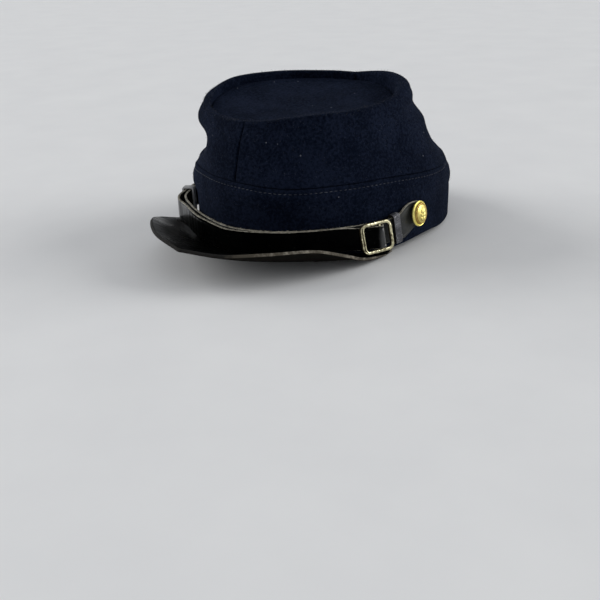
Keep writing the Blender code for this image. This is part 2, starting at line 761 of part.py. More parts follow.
def button(name: str, side: int) -> None:
    """A domed button with a rim and a shank, turned about its own axis."""
    dome_radius = BUTTON_RADIUS - BUTTON_RIM
    shank_end = -(BUTTON_STAND_OFF + BAND_WALL - SHANK_END_INSET)
    profile = []
    for step in range(DOME_STEPS + 1):
        turn = math.radians(90 * step / DOME_STEPS)
        profile.append((dome_radius * math.sin(turn), BUTTON_EDGE + BUTTON_DOME * math.cos(turn)))
    profile += [
        (dome_radius + BUTTON_RIM / 2, BUTTON_EDGE + BUTTON_RIM),
        (BUTTON_RADIUS, BUTTON_EDGE),
        (BUTTON_RADIUS - BUTTON_RIM, 0.0),
        (SHANK_RADIUS, 0.0),
        (SHANK_RADIUS, shank_end),
        (0.0, shank_end),
    ]
    mesh = bpy.data.meshes.new(name)
    shape = bmesh.new()
    verts = [shape.verts.new((x, 0.0, z)) for x, z in profile]
    for first, second in zip(verts, verts[1:]):
        shape.edges.new((first, second))
    shape.to_mesh(mesh)
    shape.free()
    thing = new_object(name, mesh)
    screw = thing.modifiers.new("turned", "SCREW")
    screw.steps = ROUND_SIDES
    screw.render_steps = ROUND_SIDES
    screw.use_merge_vertices = True
    screw.merge_threshold = 0.00001
    # The button faces a little further back than the wall it is on
    _, outward = wall_frame(side * BUTTON_ANGLE)
    facing = Matrix.Rotation(math.radians(side * BUTTON_TURN), 3, UP) @ outward
    place = off_wall(side * BUTTON_ANGLE, 0.0, BUTTON_Z) + facing * BUTTON_STAND_OFF + HEAD_CENTRE
    thing.matrix_world = Matrix.Translation(place) @ facing.to_track_quat("Z", "Y").to_matrix().to_4x4()
    dress(thing, "gilt_brass")


def build() -> None:
    """Clears the scene and builds every piece."""
    for old in list(bpy.data.objects):
        bpy.data.objects.remove(old, do_unlink=True)
    for name in ("kepi", "cutters"):
        bpy.context.scene.collection.children.link(bpy.data.collections.new(name))
    for name, side in (("left_hole", 1), ("right_hole", -1)):
        angle = side * BUTTON_ANGLE
        inner, outer = off_wall(angle, -HOLE_REACH, BUTTON_Z), off_wall(angle, HOLE_REACH, BUTTON_Z)
        rod(name, inner, outer, SHANK_HOLE_RADIUS, HOLE_SIDES)
    band()
    crown_side("crown_side_left", 1)
    crown_side("crown_side_right", -1)
    crown_top()
    visor()
    chin_strap_inner()
    chin_strap_outer()
    keeper("keeper_left", KEEPER_LEFT_ANGLE, KEEPER_LEFT_LENGTH, INNER_STRAP, INNER_STRAP)
    keeper("keeper_right", KEEPER_RIGHT_ANGLE, KEEPER_RIGHT_LENGTH, INNER_STRAP, OUTER_STRAP)
    slide()
    button("button_left", 1)
    button("button_right", -1)


build()
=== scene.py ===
"""Kepi: wool band and crown, leather visor and chin strap, brass slide and gilt side buttons.

Metres, +Z up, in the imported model's own frame: the visor points along -Y and the wearer's left is
+X. Angles run round the head in degrees, from the middle of the front (0) to the wearer's left
(+90) and the back (180). Surfaces are measured from the middle of the head.
"""

import logging
import math
import random
from bisect import bisect_right
from dataclasses import dataclass
from enum import Enum
from typing import Any, Callable, Iterable

import bmesh
import bpy
from mathutils import Matrix, Vector, noise


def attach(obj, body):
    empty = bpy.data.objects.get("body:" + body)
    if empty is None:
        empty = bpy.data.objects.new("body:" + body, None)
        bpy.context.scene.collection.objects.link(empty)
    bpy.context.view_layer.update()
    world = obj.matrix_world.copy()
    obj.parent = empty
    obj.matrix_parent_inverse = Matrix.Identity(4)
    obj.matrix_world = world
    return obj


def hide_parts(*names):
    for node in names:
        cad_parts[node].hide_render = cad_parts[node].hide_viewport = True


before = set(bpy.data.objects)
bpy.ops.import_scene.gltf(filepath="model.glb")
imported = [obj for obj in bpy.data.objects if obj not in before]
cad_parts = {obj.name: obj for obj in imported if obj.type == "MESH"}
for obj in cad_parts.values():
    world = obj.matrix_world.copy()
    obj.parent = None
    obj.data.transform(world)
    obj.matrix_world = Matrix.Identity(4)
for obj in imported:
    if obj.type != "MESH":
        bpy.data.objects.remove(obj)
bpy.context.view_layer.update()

LOG = logging.getLogger("kepi")
UP = Vector((0.0, 0.0, 1.0))
HEAD_CENTRE = Vector((0.0, 0.0275, 0.0))
CHART = "chart"
MERGE = 0.00001

Pair = tuple[float, float]
Triple = tuple[float, float, float]
Place = Callable[[int, int], Vector]
Flat = Callable[[int, int], Pair]
Shape = bmesh.types.BMesh
Socket = bpy.types.NodeSocket
Inputs = bpy.types.NodeInputs
Outputs = bpy.types.NodeOutputs


class Side(Enum):
    """The wearer's left or right, as the sign of X."""

    LEFT = 1
    RIGHT = -1


class Leather(Enum):
    """The three surfaces of a cut piece of leather, in the order of its material slots."""

    GRAIN = 0
    EDGE = 1
    FLESH = 2


# Shapes of curves and surfaces


class Curve:
    """A smooth curve through stations; the first number of each says where it lies."""

    def __init__(self, *stations: tuple[float, ...]) -> None:
        """Works out the curve's slope at each station.

        Args:
            stations: rows of where a station lies and the values there, in order.
        """
        self.keys = [station[0] for station in stations]
        self.values = [station[1:] for station in stations]
        last = len(stations) - 1
        self.slopes = []
        for i in range(last + 1):
            before, after = max(i - 1, 0), min(i + 1, last)
            run = self.keys[after] - self.keys[before]
            pairs = zip(self.values[before], self.values[after])
            self.slopes.append(tuple((end - start) / run for start, end in pairs))

    def at(self, where: float) -> tuple[float, ...]:
        """Reads the curve.

        Args:
            where: a place along it; past either end the end's values hold.

        Returns:
            The values there.
        """
        where = min(max(where, self.keys[0]), self.keys[-1])
        low = min(bisect_right(self.keys, where), len(self.keys) - 1) - 1
        span = self.keys[low + 1] - self.keys[low]
        t = (where - self.keys[low]) / span
        found = []
        for i, start in enumerate(self.values[low]):
            leave, arrive = self.slopes[low][i] * span, self.slopes[low + 1][i] * span
            found.append(glide(start, self.values[low + 1][i], leave, arrive, t))
        return tuple(found)


@dataclass(frozen=True)
class Fold:
    """A dent (depth below 0) or a swell of a cloth wall, and how far it spreads."""

    angle: float
    share: float
    depth: float
    half_angle: float
    half_share: float
    slope: float = 0.0

    def out(self, angle: float, share: float) -> float:
        """How far it pushes the wall out at one place."""
        turn = angle - self.angle
        rise = share - self.share - self.slope * turn
        return self.depth * hill(turn / self.half_angle) * hill(rise / self.half_share)


def glide(start: Any, end: Any, leave: Any, arrive: Any, t: float) -> Any:
    """A place on a smooth way between two numbers or points.

    Args:
        start: where the way starts.
        end: where it ends.
        leave: its slope at the start.
        arrive: its slope at the end.
        t: how far along it the place is, from 0 to 1.

    Returns:
        The number or point there.
    """
    bend = 3 * (end - start) - 2 * leave - arrive
    twist = 2 * (start - end) + leave + arrive
    return start + t * (leave + t * (bend + t * twist))


def ease(t: float) -> float:
    """A step from 0 to 1 with soft ends."""
    t = min(max(t, 0.0), 1.0)
    return t * t * (3 - 2 * t)


def hill(x: float) -> float:
    """A soft hill of height 1 at 0 that ends at -1 and 1."""
    return (1 - x * x) ** 2 if abs(x) < 1 else 0.0


def rounding(distance: float, reach: float, squareness: float = 2.0) -> float:
    """How much of a wall's thickness is left near its edge.

    Args:
        distance: how far the edge is.
        reach: how far in the rounding goes.
        squareness: 2 for a round edge, more for a squarer one.

    Returns:
        0 at the edge and 1 from reach inwards.
    """
    if distance >= reach:
        return 1.0
    gone = 1 - max(distance, 0.0) / reach
    return (1 - gone**squareness) ** (1 / squareness)


def graded(fine: Iterable[float], count: int, both: bool = True) -> list[float]:
    """Places from 0 to 1 that crowd at the ends.

    Args:
        fine: the places near 0, from 0 up.
        count: how many even steps follow them.
        both: True to crowd at 1 as well, False to run on evenly to 1.

    Returns:
        The places in order.
    """
    start = list(fine)
    end = 1 - start[-1] if both else 1.0
    even = [start[-1] + (end - start[-1]) * step / count for step in range(1, count + 1)]
    return start + even + ([1 - place for place in reversed(start[:-1])] if both else [])


def soft_waves(point: Vector) -> float:
    """How far handling has pushed the cloth out of true at a point, in metres."""
    return 0.0006 * noise.noise(point * 30.0) + 0.00025 * noise.noise(point * 85.0)


@dataclass(frozen=True)
class CapShape:
    """The surfaces of the cap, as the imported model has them."""

    half_width: float = 0.0840
    half_length: float = 0.1040
    plain_share: float = 0.45
    gap: float = 0.0003
    visor_root: float = 0.0028
    visor_curl: float = 1.32

    # share, half width, front y, back y, front z, back z
    sections = Curve(
        (0.00, 0.0840, -0.1017, 0.0975, 0.0526, 0.0421),
        (0.33, 0.0775, -0.0995, 0.0755, 0.0640, 0.0600),
        (0.66, 0.0710, -0.0960, 0.0590, 0.0760, 0.0800),
        (1.00, 0.0660, -0.0910, 0.0420, 0.0855, 0.0980),
    )
    crown_folds = (
        Fold(-58.0, 0.44, -0.0100, 34.0, 0.32),
        Fold(-60.0, 0.82, 0.0040, 34.0, 0.30),
        Fold(75.0, 0.50, -0.0030, 26.0, 0.45, 0.010),
        Fold(122.0, 0.60, 0.0020, 48.0, 0.42),
        Fold(-50.0, 0.13, -0.0022, 40.0, 0.22),
        Fold(118.0, 0.78, -0.0038, 38.0, 0.20),
    )
    band_swells = (
        Fold(-46.0, 0.78, 0.0025, 30.0, 0.22),
        Fold(10.0, 0.82, 0.0012, 50.0, 0.18),
        Fold(123.0, 0.76, 0.0022, 40.0, 0.22),
    )
    # angle, rise of the rim
    rim = Curve(
        (0.0, 0.0076),
        (30.0, 0.0066),
        (50.0, 0.0046),
        (68.0, 0.0034),
        (84.0, 0.0050),
        (92.0, 0.0047),
        (102.0, 0.0027),
        (116.0, 0.0017),
        (140.0, 0.0),
        (180.0, 0.0),
    )
    # angle, how far the band seam stands out, how far it drops
    seam = Curve(
        (-180.0, 0.0, 0.0),
        (-90.0, 0.0, 0.0),
        (-52.0, 0.0014, 0.0),
        (-26.0, -0.0013, -0.0005),
        (0.0, 0.0005, 0.0),
        (24.0, 0.0030, 0.0013),
        (46.0, 0.0, 0.0),
        (70.0, -0.0022, -0.0009),
        (96.0, 0.0005, 0.0003),
        (125.0, -0.0012, 0.0),
        (150.0, -0.0006, 0.0),
        (180.0, 0.0, 0.0),
    )
    # angle, how far the lip stands out, how far it rises, the radius of its roll, its depth inside
    lip = Curve(
        (-180.0, 0.0005, 0.0010, 0.0026, 0.0046),
        (-150.0, 0.0005, 0.0025, 0.0026, 0.0048),
        (-120.0, 0.0026, 0.0052, 0.0026, 0.0052),
        (-96.0, 0.0048, 0.0066, 0.0026, 0.0054),
        (-75.0, 0.0034, 0.0046, 0.0026, 0.0050),
        (-50.0, 0.0010, 0.0020, 0.0026, 0.0044),
        (-25.0, 0.0, 0.0004, 0.0026, 0.0042),
        (0.0, 0.0, 0.0006, 0.0026, 0.0046),
        (15.0, 0.0, 0.0018, 0.0026, 0.0056),
        (30.0, 0.0, 0.0034, 0.0026, 0.0068),
        (45.0, 0.0, 0.0038, 0.0026, 0.0072),
        (60.0, 0.0, 0.0026, 0.0027, 0.0064),
        (75.0, 0.0004, 0.0018, 0.0028, 0.0058),
        (100.0, 0.0026, 0.0010, 0.0038, 0.0058),
        (116.0, 0.0050, 0.0012, 0.0052, 0.0066),
        (132.0, 0.0052, 0.0026, 0.0052, 0.0076),
        (150.0, 0.0032, 0.0036, 0.0040, 0.0074),
        (168.0, 0.0010, 0.0026, 0.0028, 0.0060),
        (180.0, 0.0005, 0.0010, 0.0026, 0.0046),
    )
    # root angle, edge x, edge y, edge z on the left, edge z on the right
    visor = Curve(
        (0.0, 0.0, -0.1580, 0.0255, 0.0255),
        (15.0, 0.0258, -0.1498, 0.0237, 0.0288),
        (30.0, 0.0475, -0.1316, 0.0230, 0.0293),
        (42.0, 0.0645, -0.1085, 0.0208, 0.0218),
        (52.0, 0.0728, -0.0884, 0.0134, 0.0146),
        (60.0, 0.0770, -0.0717, 0.0066, 0.0090),
        (68.0, 0.0795, -0.0480, 0.0022, 0.0022),
    )

    def oval(
        self, angle: float, half_width: float, front_y: float, back_y: float
    ) -> tuple[Vector, Vector]:
        """A point of a level oval.

        Args:
            angle: where it is.
            half_width: half the oval's width.
            front_y: where the oval's front is.
            back_y: where its back is.

        Returns:
            The point and the outward direction there.
        """
        a = math.radians(angle)
        half_length = (back_y - front_y) / 2
        centre = (back_y + front_y) / 2
        point = Vector((half_width * math.sin(a), centre - half_length * math.cos(a), 0.0))
        outward = Vector((math.sin(a) / half_width, -math.cos(a) / half_length, 0.0))
        return point, outward.normalized()

    def wall(self, angle: float) -> tuple[Vector, Vector]:
        """A point of the band's plain outer face at z 0, and its outward direction."""
        return self.oval(angle, self.half_width, -self.half_length, self.half_length)

    def off_wall(self, angle: float, stand_off: float, z: float) -> Vector:
        """A point at a distance from the band's outer face."""
        point, outward = self.wall(angle)
        return point + outward * stand_off + UP * z

    def rim_z(self, angle: float) -> float:
        """The height of the band's lower edge."""
        return max(self.rim.at(abs(angle))[0], 0.0)

    def band_point(self, angle: float, share: float) -> tuple[Vector, Vector]:
        """A point of the band's outer face.

        Args:
            angle: where it is round the head.
            share: how far up it is, from the rim (0) to the seam (1).

        Returns:
            The point and the outward direction there.
        """
        stand_out, drop = self.seam.at(angle)
        _, seam_front, seam_back, front_z, back_z = self.sections.at(0.0)
        rise = ease((share - self.plain_share) / (1 - self.plain_share))
        front_y = -self.half_length + (seam_front + self.half_length) * rise
        back_y = self.half_length + (seam_back - self.half_length) * rise
        point, outward = self.oval(angle, self.half_width, front_y, back_y)
        along = (point.y - seam_front) / (seam_back - seam_front)
        low, high = self.rim_z(angle), front_z + (back_z - front_z) * along - drop
        point.z = low + (high - low) * share
        out = stand_out * rise + sum(fold.out(angle, share) for fold in self.band_swells)
        return point + outward * out, outward

    def crown_point(self, angle: float, share: float) -> tuple[Vector, Vector]:
        """A point of the crown's outer face.

        Args:
            angle: where it is round the head.
            share: how far up it is, from the band seam (0) to the lip (1).

        Returns:
            The point and the outward direction there.
        """
        half_width, front_y, back_y, front_z, back_z = self.sections.at(share)
        point, outward = self.oval(angle, half_width, front_y, back_y)
        along = (point.y - front_y) / (back_y - front_y)
        seam_out, seam_drop = self.seam.at(angle)
        lip_out, lip_rise, _, _ = self.lip.at(angle)
        near_seam, near_lip = 1 - ease(share / 0.5), ease((share - 0.4) / 0.6)
        level = front_z + (back_z - front_z) * along
        point.z = level + lip_rise * near_lip - seam_drop * near_seam
        out = seam_out * near_seam + lip_out * near_lip
        out += sum(fold.out(angle, share) for fold in self.crown_folds)
        return point + outward * out, outward

    def visor_point(self, angle: float, share: float) -> Vector:
        """A point of the visor's upper face, from the wall (share 0) to its edge (1).

        Args:
            angle: where it is round the head.
            share: how far out it is; below 0 it is part of the root, under the band.

        Returns:
            The point.
        """
        across, edge_y, left_z, right_z = self.visor.at(abs(angle))
        side = 1 if angle >= 0 else -1
        root, outward = self.wall(angle)
        root.z = self.rim_z(angle) - self.gap
        if share < 0:
            return root + outward * self.visor_root * share
        point = root.lerp(Vector((side * across, edge_y, 0.0)), share)
        point.z = root.z + ((left_z if side > 0 else right_z) - root.z) * share**self.visor_curl
        return point


# Node trees


class Wiring:
    """Adds nodes to a node tree and joins them."""

    def __init__(self, tree: bpy.types.NodeTree) -> None:
        """Keeps the tree to work on."""
        self.tree = tree

    def feed(self, socket: Socket, value: Any) -> None:
        """Joins an output to a socket, or sets the socket to a plain value."""
        if isinstance(value, Socket):
            self.tree.links.new(value, socket)
        else:
            socket.default_value = value

    def fill(self, sockets: Inputs, values: dict[Any, Any]) -> None:
        """Feeds each named or numbered socket its value."""
        for key, value in values.items():
            self.feed(sockets[key], value)

    def node(self, kind: str, inputs: dict[Any, Any], **settings: Any) -> Outputs:
        """Adds one node.

        Args:
            kind: the node's type, without the words ShaderNode.
            inputs: what each named or numbered input gets.
            settings: the node's own properties.

        Returns:
            The node's outputs.
        """
        node = self.tree.nodes.new("ShaderNode" + kind)
        for name, value in settings.items():
            setattr(node, name, value)
        self.fill(node.inputs, inputs)
        return node.outputs

    def math(self, operation: str, first: Any, second: Any = 0.0) -> Socket:
        """One sum of two values."""
        return self.node("Math", {0: first, 1: second}, operation=operation)[0]

    def times(self, first: Any, second: Any) -> Socket:
        """One value times another."""
        return self.math("MULTIPLY", first, second)

    def plus(self, first: Any, second: Any) -> Socket:
        """One value and another."""
        return self.math("ADD", first, second)

    def scaled(self, vector: Any, scale: Any) -> Socket:
        """A vector times a number."""
        return self.node("VectorMath", {0: vector, "Scale": scale}, operation="SCALE")[0]

    def stretched(self, vector: Any, scale: Triple, turn: float = 0.0) -> Socket:
        """A vector turned about Z by degrees and scaled along each axis."""
        turned = (0.0, 0.0, math.radians(turn))
        return self.node("Mapping", {"Vector": vector, "Rotation": turned, "Scale": scale})[0]

    def noise(
        self, vector: Any, scale: float, detail: float = 3.0, roughness: float = 0.5
    ) -> Socket:
        """Smooth noise from 0 to 1."""
        inputs = {"Vector": vector, "Scale": scale, "Detail": detail, "Roughness": roughness}
        return self.node("TexNoise", inputs)["Fac"]

    def span(
        self, value: Any, low: float, high: float, first: float = 0.0, last: float = 1.0
    ) -> Socket:
        """Maps low to first and high to last, smoothly and no further."""
        ends = {"From Min": low, "From Max": high, "To Min": first, "To Max": last}
        return self.node("MapRange", {"Value": value, **ends}, interpolation_type="SMOOTHSTEP")[0]

    def mix(self, share: Any, first: Any, second: Any) -> Socket:
        """A colour between two."""
        colours = [(*c, 1.0) if isinstance(c, tuple) else c for c in (first, second)]
        return self.node("Mix", {0: share, 6: colours[0], 7: colours[1]}, data_type="RGBA")[2]

    def bump(self, height: Any, depth: float, strength: float = 1.0) -> Socket:
        """The normal of a surface with a height pattern on it, depth metres deep."""
        return self.node("Bump", {"Height": height, "Distance": depth, "Strength": strength})[0]

    def chart(self) -> Socket:
        """The piece's own flat map, in metres."""
        return self.node("UVMap", {}, uv_map=CHART)[0]

    def place(self) -> Socket:
        """The place on the object, in metres."""
        return self.node("TexCoord", {})["Object"]

    def mark(self, name: str) -> Socket:
        """A number that the piece's mesh carries at each of its points."""
        return self.node("Attribute", {}, attribute_name=name)["Fac"]


class Effect:
    """A pattern that several finishes share, kept as one node group."""

    name = ""
    numbers: tuple[tuple[str, float], ...] = ()
    results: tuple[str, ...] = ()

    def wire(self, wiring: Wiring, given: Outputs) -> tuple[Socket, ...]:
        """Builds the pattern inside its group.

        Args:
            wiring: the group's wiring.
            given: what the group is handed, Vector first and then its numbers.

        Returns:
            One output for each name in results.
        """
        raise NotImplementedError

    def tree(self) -> bpy.types.NodeTree:
        """The effect's group, made once."""
        known = bpy.data.node_groups.get(self.name)
        if known:
            return known
        tree = bpy.data.node_groups.new(self.name, "ShaderNodeTree")
        new_socket, plain = tree.interface.new_socket, "NodeSocketFloat"
        new_socket(name="Vector", in_out="INPUT", socket_type="NodeSocketVector")
        for label, start in self.numbers:
            new_socket(name=label, in_out="INPUT", socket_type=plain).default_value = start
        for label in self.results:
            new_socket(name=label, in_out="OUTPUT", socket_type=plain)
        wiring = Wiring(tree)
        given = tree.nodes.new("NodeGroupInput").outputs
        taken = tree.nodes.new("NodeGroupOutput").inputs
        wiring.fill(taken, dict(zip(self.results, self.wire(wiring, given))))
        return tree

    def on(self, wiring: Wiring, vector: Any, **numbers: float) -> Outputs:
        """Puts the effect in a material.

        Args:
            wiring: the material's wiring.
            vector: the place that the pattern follows.
            numbers: the group's numbers for this material.

        Returns:
            The effect's results by name.
        """
        return wiring.node("Group", {"Vector": vector, **numbers}, node_tree=self.tree())


class Weave(Effect):
    """Fine twill: slanting ribs over crossing threads."""

    name = "twill weave"
    numbers = (("Pitch", 0.0007),)
    results = ("Height",)

    def wire(self, wiring: Wiring, given: Outputs) -> tuple[Socket, ...]:
        """Ribs and threads as one height."""
        turns = wiring.math("DIVIDE", math.tau, given["Pitch"])
        place = wiring.node("SeparateXYZ", {0: wiring.scaled(given["Vector"], turns)})
        rib = wiring.math("SINE", wiring.plus(place[0], place[1]))
        warp = wiring.math("SINE", wiring.times(place[0], 2.0))
        weft = wiring.math("SINE", wiring.times(place[1], 2.0))
        threads = wiring.times(warp, weft)
        both = wiring.plus(wiring.times(rib, 0.3), wiring.times(threads, 0.2))
        return (wiring.plus(both, 0.5),)


class Nap(Effect):
    """The raised fibres of milled wool, its cloudy shade and the lint that clings to it."""

    name = "wool nap"
    numbers = (("Lint", 0.8),)
    results = ("Fuzz", "Mottle", "Cloud", "Speck")

    def wire(self, wiring: Wiring, given: Outputs) -> tuple[Socket, ...]:
        """Fine fuzz, small mottles, large clouds and a few specks."""
        place = given["Vector"]
        fuzz = wiring.noise(place, 1100.0, 3.0, 0.65)
        mottle = wiring.noise(place, 560.0, 4.0, 0.66)
        cloud = wiring.noise(place, 34.0, 5.0, 0.6)
        cells = wiring.node("TexVoronoi", {"Vector": place, "Scale": 150.0})
        near = wiring.span(cells["Distance"], 0.045, 0.085, 1.0, 0.0)
        pick = wiring.node("SeparateColor", {0: cells["Color"]})[0]
        chosen = wiring.math("GREATER_THAN", pick, given["Lint"])
        return fuzz, mottle, cloud, wiring.times(near, chosen)


class LeatherGrain(Effect):
    """Fine pores, rubbed patches and faint scratches of polished leather."""

    name = "leather grain"
    numbers = (("Scratch", 0.62),)
    results = ("Height", "Rubbed", "Scratches")

    def wire(self, wiring: Wiring, given: Outputs) -> tuple[Socket, ...]:
        """Pores as height, patches and scratches as masks."""
        place = given["Vector"]
        cells = wiring.node("TexVoronoi", {"Vector": place, "Scale": 1100.0})["Distance"]
        fine = wiring.noise(place, 2600.0, 2.0)
        height = wiring.plus(wiring.times(cells, 0.7), wiring.times(fine, 0.3))
        rubbed = wiring.noise(place, 55.0, 5.0, 0.6)
        drawn = wiring.noise(wiring.stretched(place, (0.25, 1.0, 1.0), 24.0), 700.0, 2.0)
        above = wiring.math("SUBTRACT", drawn, given["Scratch"])
        return height, rubbed, wiring.span(above, 0.0, 0.06)


class Fibres(Effect):
    """The felted fibres that show on leather's cut edge and on its flesh side."""

    name = "leather fibres"
    numbers = (("Length", 1.0),)
    results = ("Height", "Patches")

    def wire(self, wiring: Wiring, given: Outputs) -> tuple[Socket, ...]:
        """Fibres as height, and patches that hold more or less dye."""
        place = wiring.scaled(given["Vector"], given["Length"])
        return wiring.noise(place, 1700.0, 5.0, 0.7), wiring.noise(place, 320.0, 4.0, 0.65)


class Tarnish(Effect):
    """Dull patches, pits and casting ripples on old brass."""

    name = "brass tarnish"
    numbers = (("Size", 1.0),)
    results = ("Dull", "Height")

    def wire(self, wiring: Wiring, given: Outputs) -> tuple[Socket, ...]:
        """Patches of tarnish and an uneven height."""
        place = wiring.scaled(given["Vector"], given["Size"])
        dull = wiring.noise(place, 420.0, 5.0, 0.65)
        ripple = wiring.noise(place, 900.0, 3.0)
        return dull, wiring.plus(ripple, wiring.times(dull, 0.4))


# Finishes


@dataclass(frozen=True)
class Finish:
    """A surface finish, which makes its own material."""

    name: str

    def wire(self, wiring: Wiring) -> dict[str, Any]:
        """Builds the pattern.

        Args:
            wiring: the material's wiring.

        Returns:
            What each of the shader's sockets gets.
        """
        raise NotImplementedError

    def material(self) -> bpy.types.Material:
        """The finish's material, made once."""
        known = bpy.data.materials.get(self.name)
        if known:
            return known
        material = bpy.data.materials.new(self.name)
        material.use_nodes = True
        wiring = Wiring(material.node_tree)
        wiring.fill(material.node_tree.nodes["Principled BSDF"].inputs, self.wire(wiring))
        return material


@dataclass(frozen=True)
class WoolCloth(Finish):
    """Very dark navy wool, milled and lightly napped."""

    deep: Triple = (0.0020, 0.0042, 0.0118)
    pale: Triple = (0.0130, 0.0190, 0.0395)
    lint: Triple = (0.15, 0.16, 0.19)
    pitch: float = 0.0007
    lint_share: float = 0.80
    nap_depth: float = 0.00060

    def wire(self, wiring: Wiring) -> dict[str, Any]:
        """Weave and nap in the colour, the roughness and the normal."""
        weave = Weave().on(wiring, wiring.chart(), Pitch=self.pitch)["Height"]
        nap = Nap().on(wiring, wiring.place(), Lint=self.lint_share)
        fine = wiring.plus(wiring.times(nap["Mottle"], 0.60), wiring.times(nap["Fuzz"], 0.25))
        worn = wiring.plus(wiring.times(nap["Cloud"], 0.35), fine)
        shade = wiring.mix(wiring.span(worn, 0.50, 0.71), self.deep, self.pale)
        threads = wiring.mix(wiring.span(weave, 0.2, 0.9, 0.40, 0.0), shade, self.deep)
        nap_height = wiring.plus(nap["Fuzz"], nap["Mottle"])
        height = wiring.plus(nap_height, wiring.times(weave, 0.35))
        return {
            "Base Color": wiring.mix(nap["Speck"], threads, self.lint),
            "Roughness": wiring.span(nap["Fuzz"], 0.3, 0.7, 0.86, 1.0),
            "Normal": wiring.bump(height, self.nap_depth),
            "Specular IOR Level": 0.03,
            "Sheen Weight": 0.010,
            "Sheen Roughness": 0.40,
            "Sheen Tint": (0.45, 0.65, 1.0, 1.0),
        }


@dataclass(frozen=True)
class PolishedLeather(Finish):
    """Black leather with its polished grain side out."""

    black: Triple = (0.0008, 0.0010, 0.0012)
    rubbed: Triple = (0.0030, 0.0032, 0.0031)
    scratch: Triple = (0.010, 0.010, 0.009)
    gloss: Pair = (0.24, 0.38)
    grain_depth: float = 0.00004
    stripes: float = 0.0
    shine: float = 0.006
    polish: float = 0.34

    def wire(self, wiring: Wiring) -> dict[str, Any]:
        """Grain in the normal, rubbed patches and scratches in the colour and the gloss."""
        chart = wiring.chart()
        grain = LeatherGrain().on(wiring, wiring.place(), Scratch=0.66)
        worn = wiring.span(grain["Rubbed"], 0.42, 0.72)
        shade = wiring.mix(worn, self.black, self.rubbed)
        height = grain["Height"]
        if self.stripes:
            slanting = wiring.stretched(chart, (1.0, 0.12, 1.0), self.stripes)
            drawn = wiring.noise(slanting, 1500.0, 2.0)
            height = wiring.plus(height, wiring.times(drawn, 3.0))
            shade = wiring.mix(wiring.span(drawn, 0.38, 0.60), self.black, shade)
        streaks = wiring.noise(wiring.stretched(chart, (1.0, 0.10, 1.0)), 420.0, 2.0)
        polished = wiring.times(wiring.mark("polish"), self.polish)
        streaked = wiring.times(polished, wiring.span(streaks, 0.36, 0.62, 0.45, 1.9))
        return {
            "Base Color": wiring.mix(grain["Scratches"], shade, self.scratch),
            "Roughness": wiring.span(grain["Rubbed"], 0.3, 0.7, *self.gloss),
            "Normal": wiring.bump(height, self.grain_depth),
            "Coat Weight": wiring.node("Clamp", {"Value": streaked})[0],
            "Coat Roughness": 0.30,
            "Coat IOR": 1.8,
            "Specular IOR Level": self.shine,
        }


@dataclass(frozen=True)
class CutEdge(Finish):
    """The raw cut edge of leather: tan, fibrous and unevenly dyed."""

    pale: Triple = (0.36, 0.31, 0.22)
    brown: Triple = (0.080, 0.062, 0.042)
    black: Triple = (0.012, 0.011, 0.010)

    def wire(self, wiring: Wiring) -> dict[str, Any]:
        """Fibres in the normal and patches of dye in the colour."""
        fibres = Fibres().on(wiring, wiring.place(), Length=1.0)
        patchy = wiring.plus(fibres["Patches"], wiring.times(fibres["Height"], 0.6))
        dye = wiring.plus(patchy, wiring.mark("dye"))
        brown = wiring.mix(wiring.span(dye, 0.62, 1.05), self.pale, self.brown)
        return {
            "Base Color": wiring.mix(wiring.span(dye, 1.2, 1.7), brown, self.black),
            "Roughness": wiring.span(fibres["Height"], 0.3, 0.7, 0.75, 0.95),
            "Normal": wiring.bump(fibres["Height"], 0.00025),
            "Specular IOR Level": 0.2,
        }


@dataclass(frozen=True)
class FleshSide(Finish):
    """The rough inner side of leather, brown and dusty."""

    brown: Triple = (0.0030, 0.0026, 0.0020)
    dusty: Triple = (0.014, 0.011, 0.008)

    def wire(self, wiring: Wiring) -> dict[str, Any]:
        """Matted fibres in the normal and dusty patches in the colour."""
        fibres = Fibres().on(wiring, wiring.place(), Length=0.6)
        patchy = wiring.times(fibres["Patches"], fibres["Height"])
        return {
            "Base Color": wiring.mix(wiring.span(patchy, 0.16, 0.42), self.brown, self.dusty),
            "Roughness": wiring.span(fibres["Patches"], 0.3, 0.7, 0.85, 1.0),
            "Normal": wiring.bump(fibres["Height"], 0.0005),
            "Specular IOR Level": 0.05,
        }


@dataclass(frozen=True)
class OldBrass(Finish):
    """Brass that is bright where it is rubbed and dark where it is not."""

    bright: Triple = (1.0, 0.94, 0.62)
    dark: Triple = (0.085, 0.065, 0.035)
    gloss: Pair = (0.50, 0.18)
    tarnish: float = 1.75
    dent: float = 0.00020

    def wire(self, wiring: Wiring) -> dict[str, Any]:
        """Rubbed edges and tarnished hollows in the colour and the roughness."""
        tarnish = Tarnish().on(wiring, wiring.place(), Size=1.0)
        hidden = wiring.times(tarnish["Dull"], self.tarnish)
        shine = wiring.span(wiring.math("SUBTRACT", wiring.mark("rubbed"), hidden), -0.35, 0.45)
        return {
            "Base Color": wiring.mix(shine, self.dark, self.bright),
            "Roughness": wiring.span(shine, 0.0, 1.0, *self.gloss),
            "Metallic": wiring.span(shine, 0.0, 0.6, 0.85, 1.0),
            "Normal": wiring.bump(tarnish["Height"], self.dent),
        }


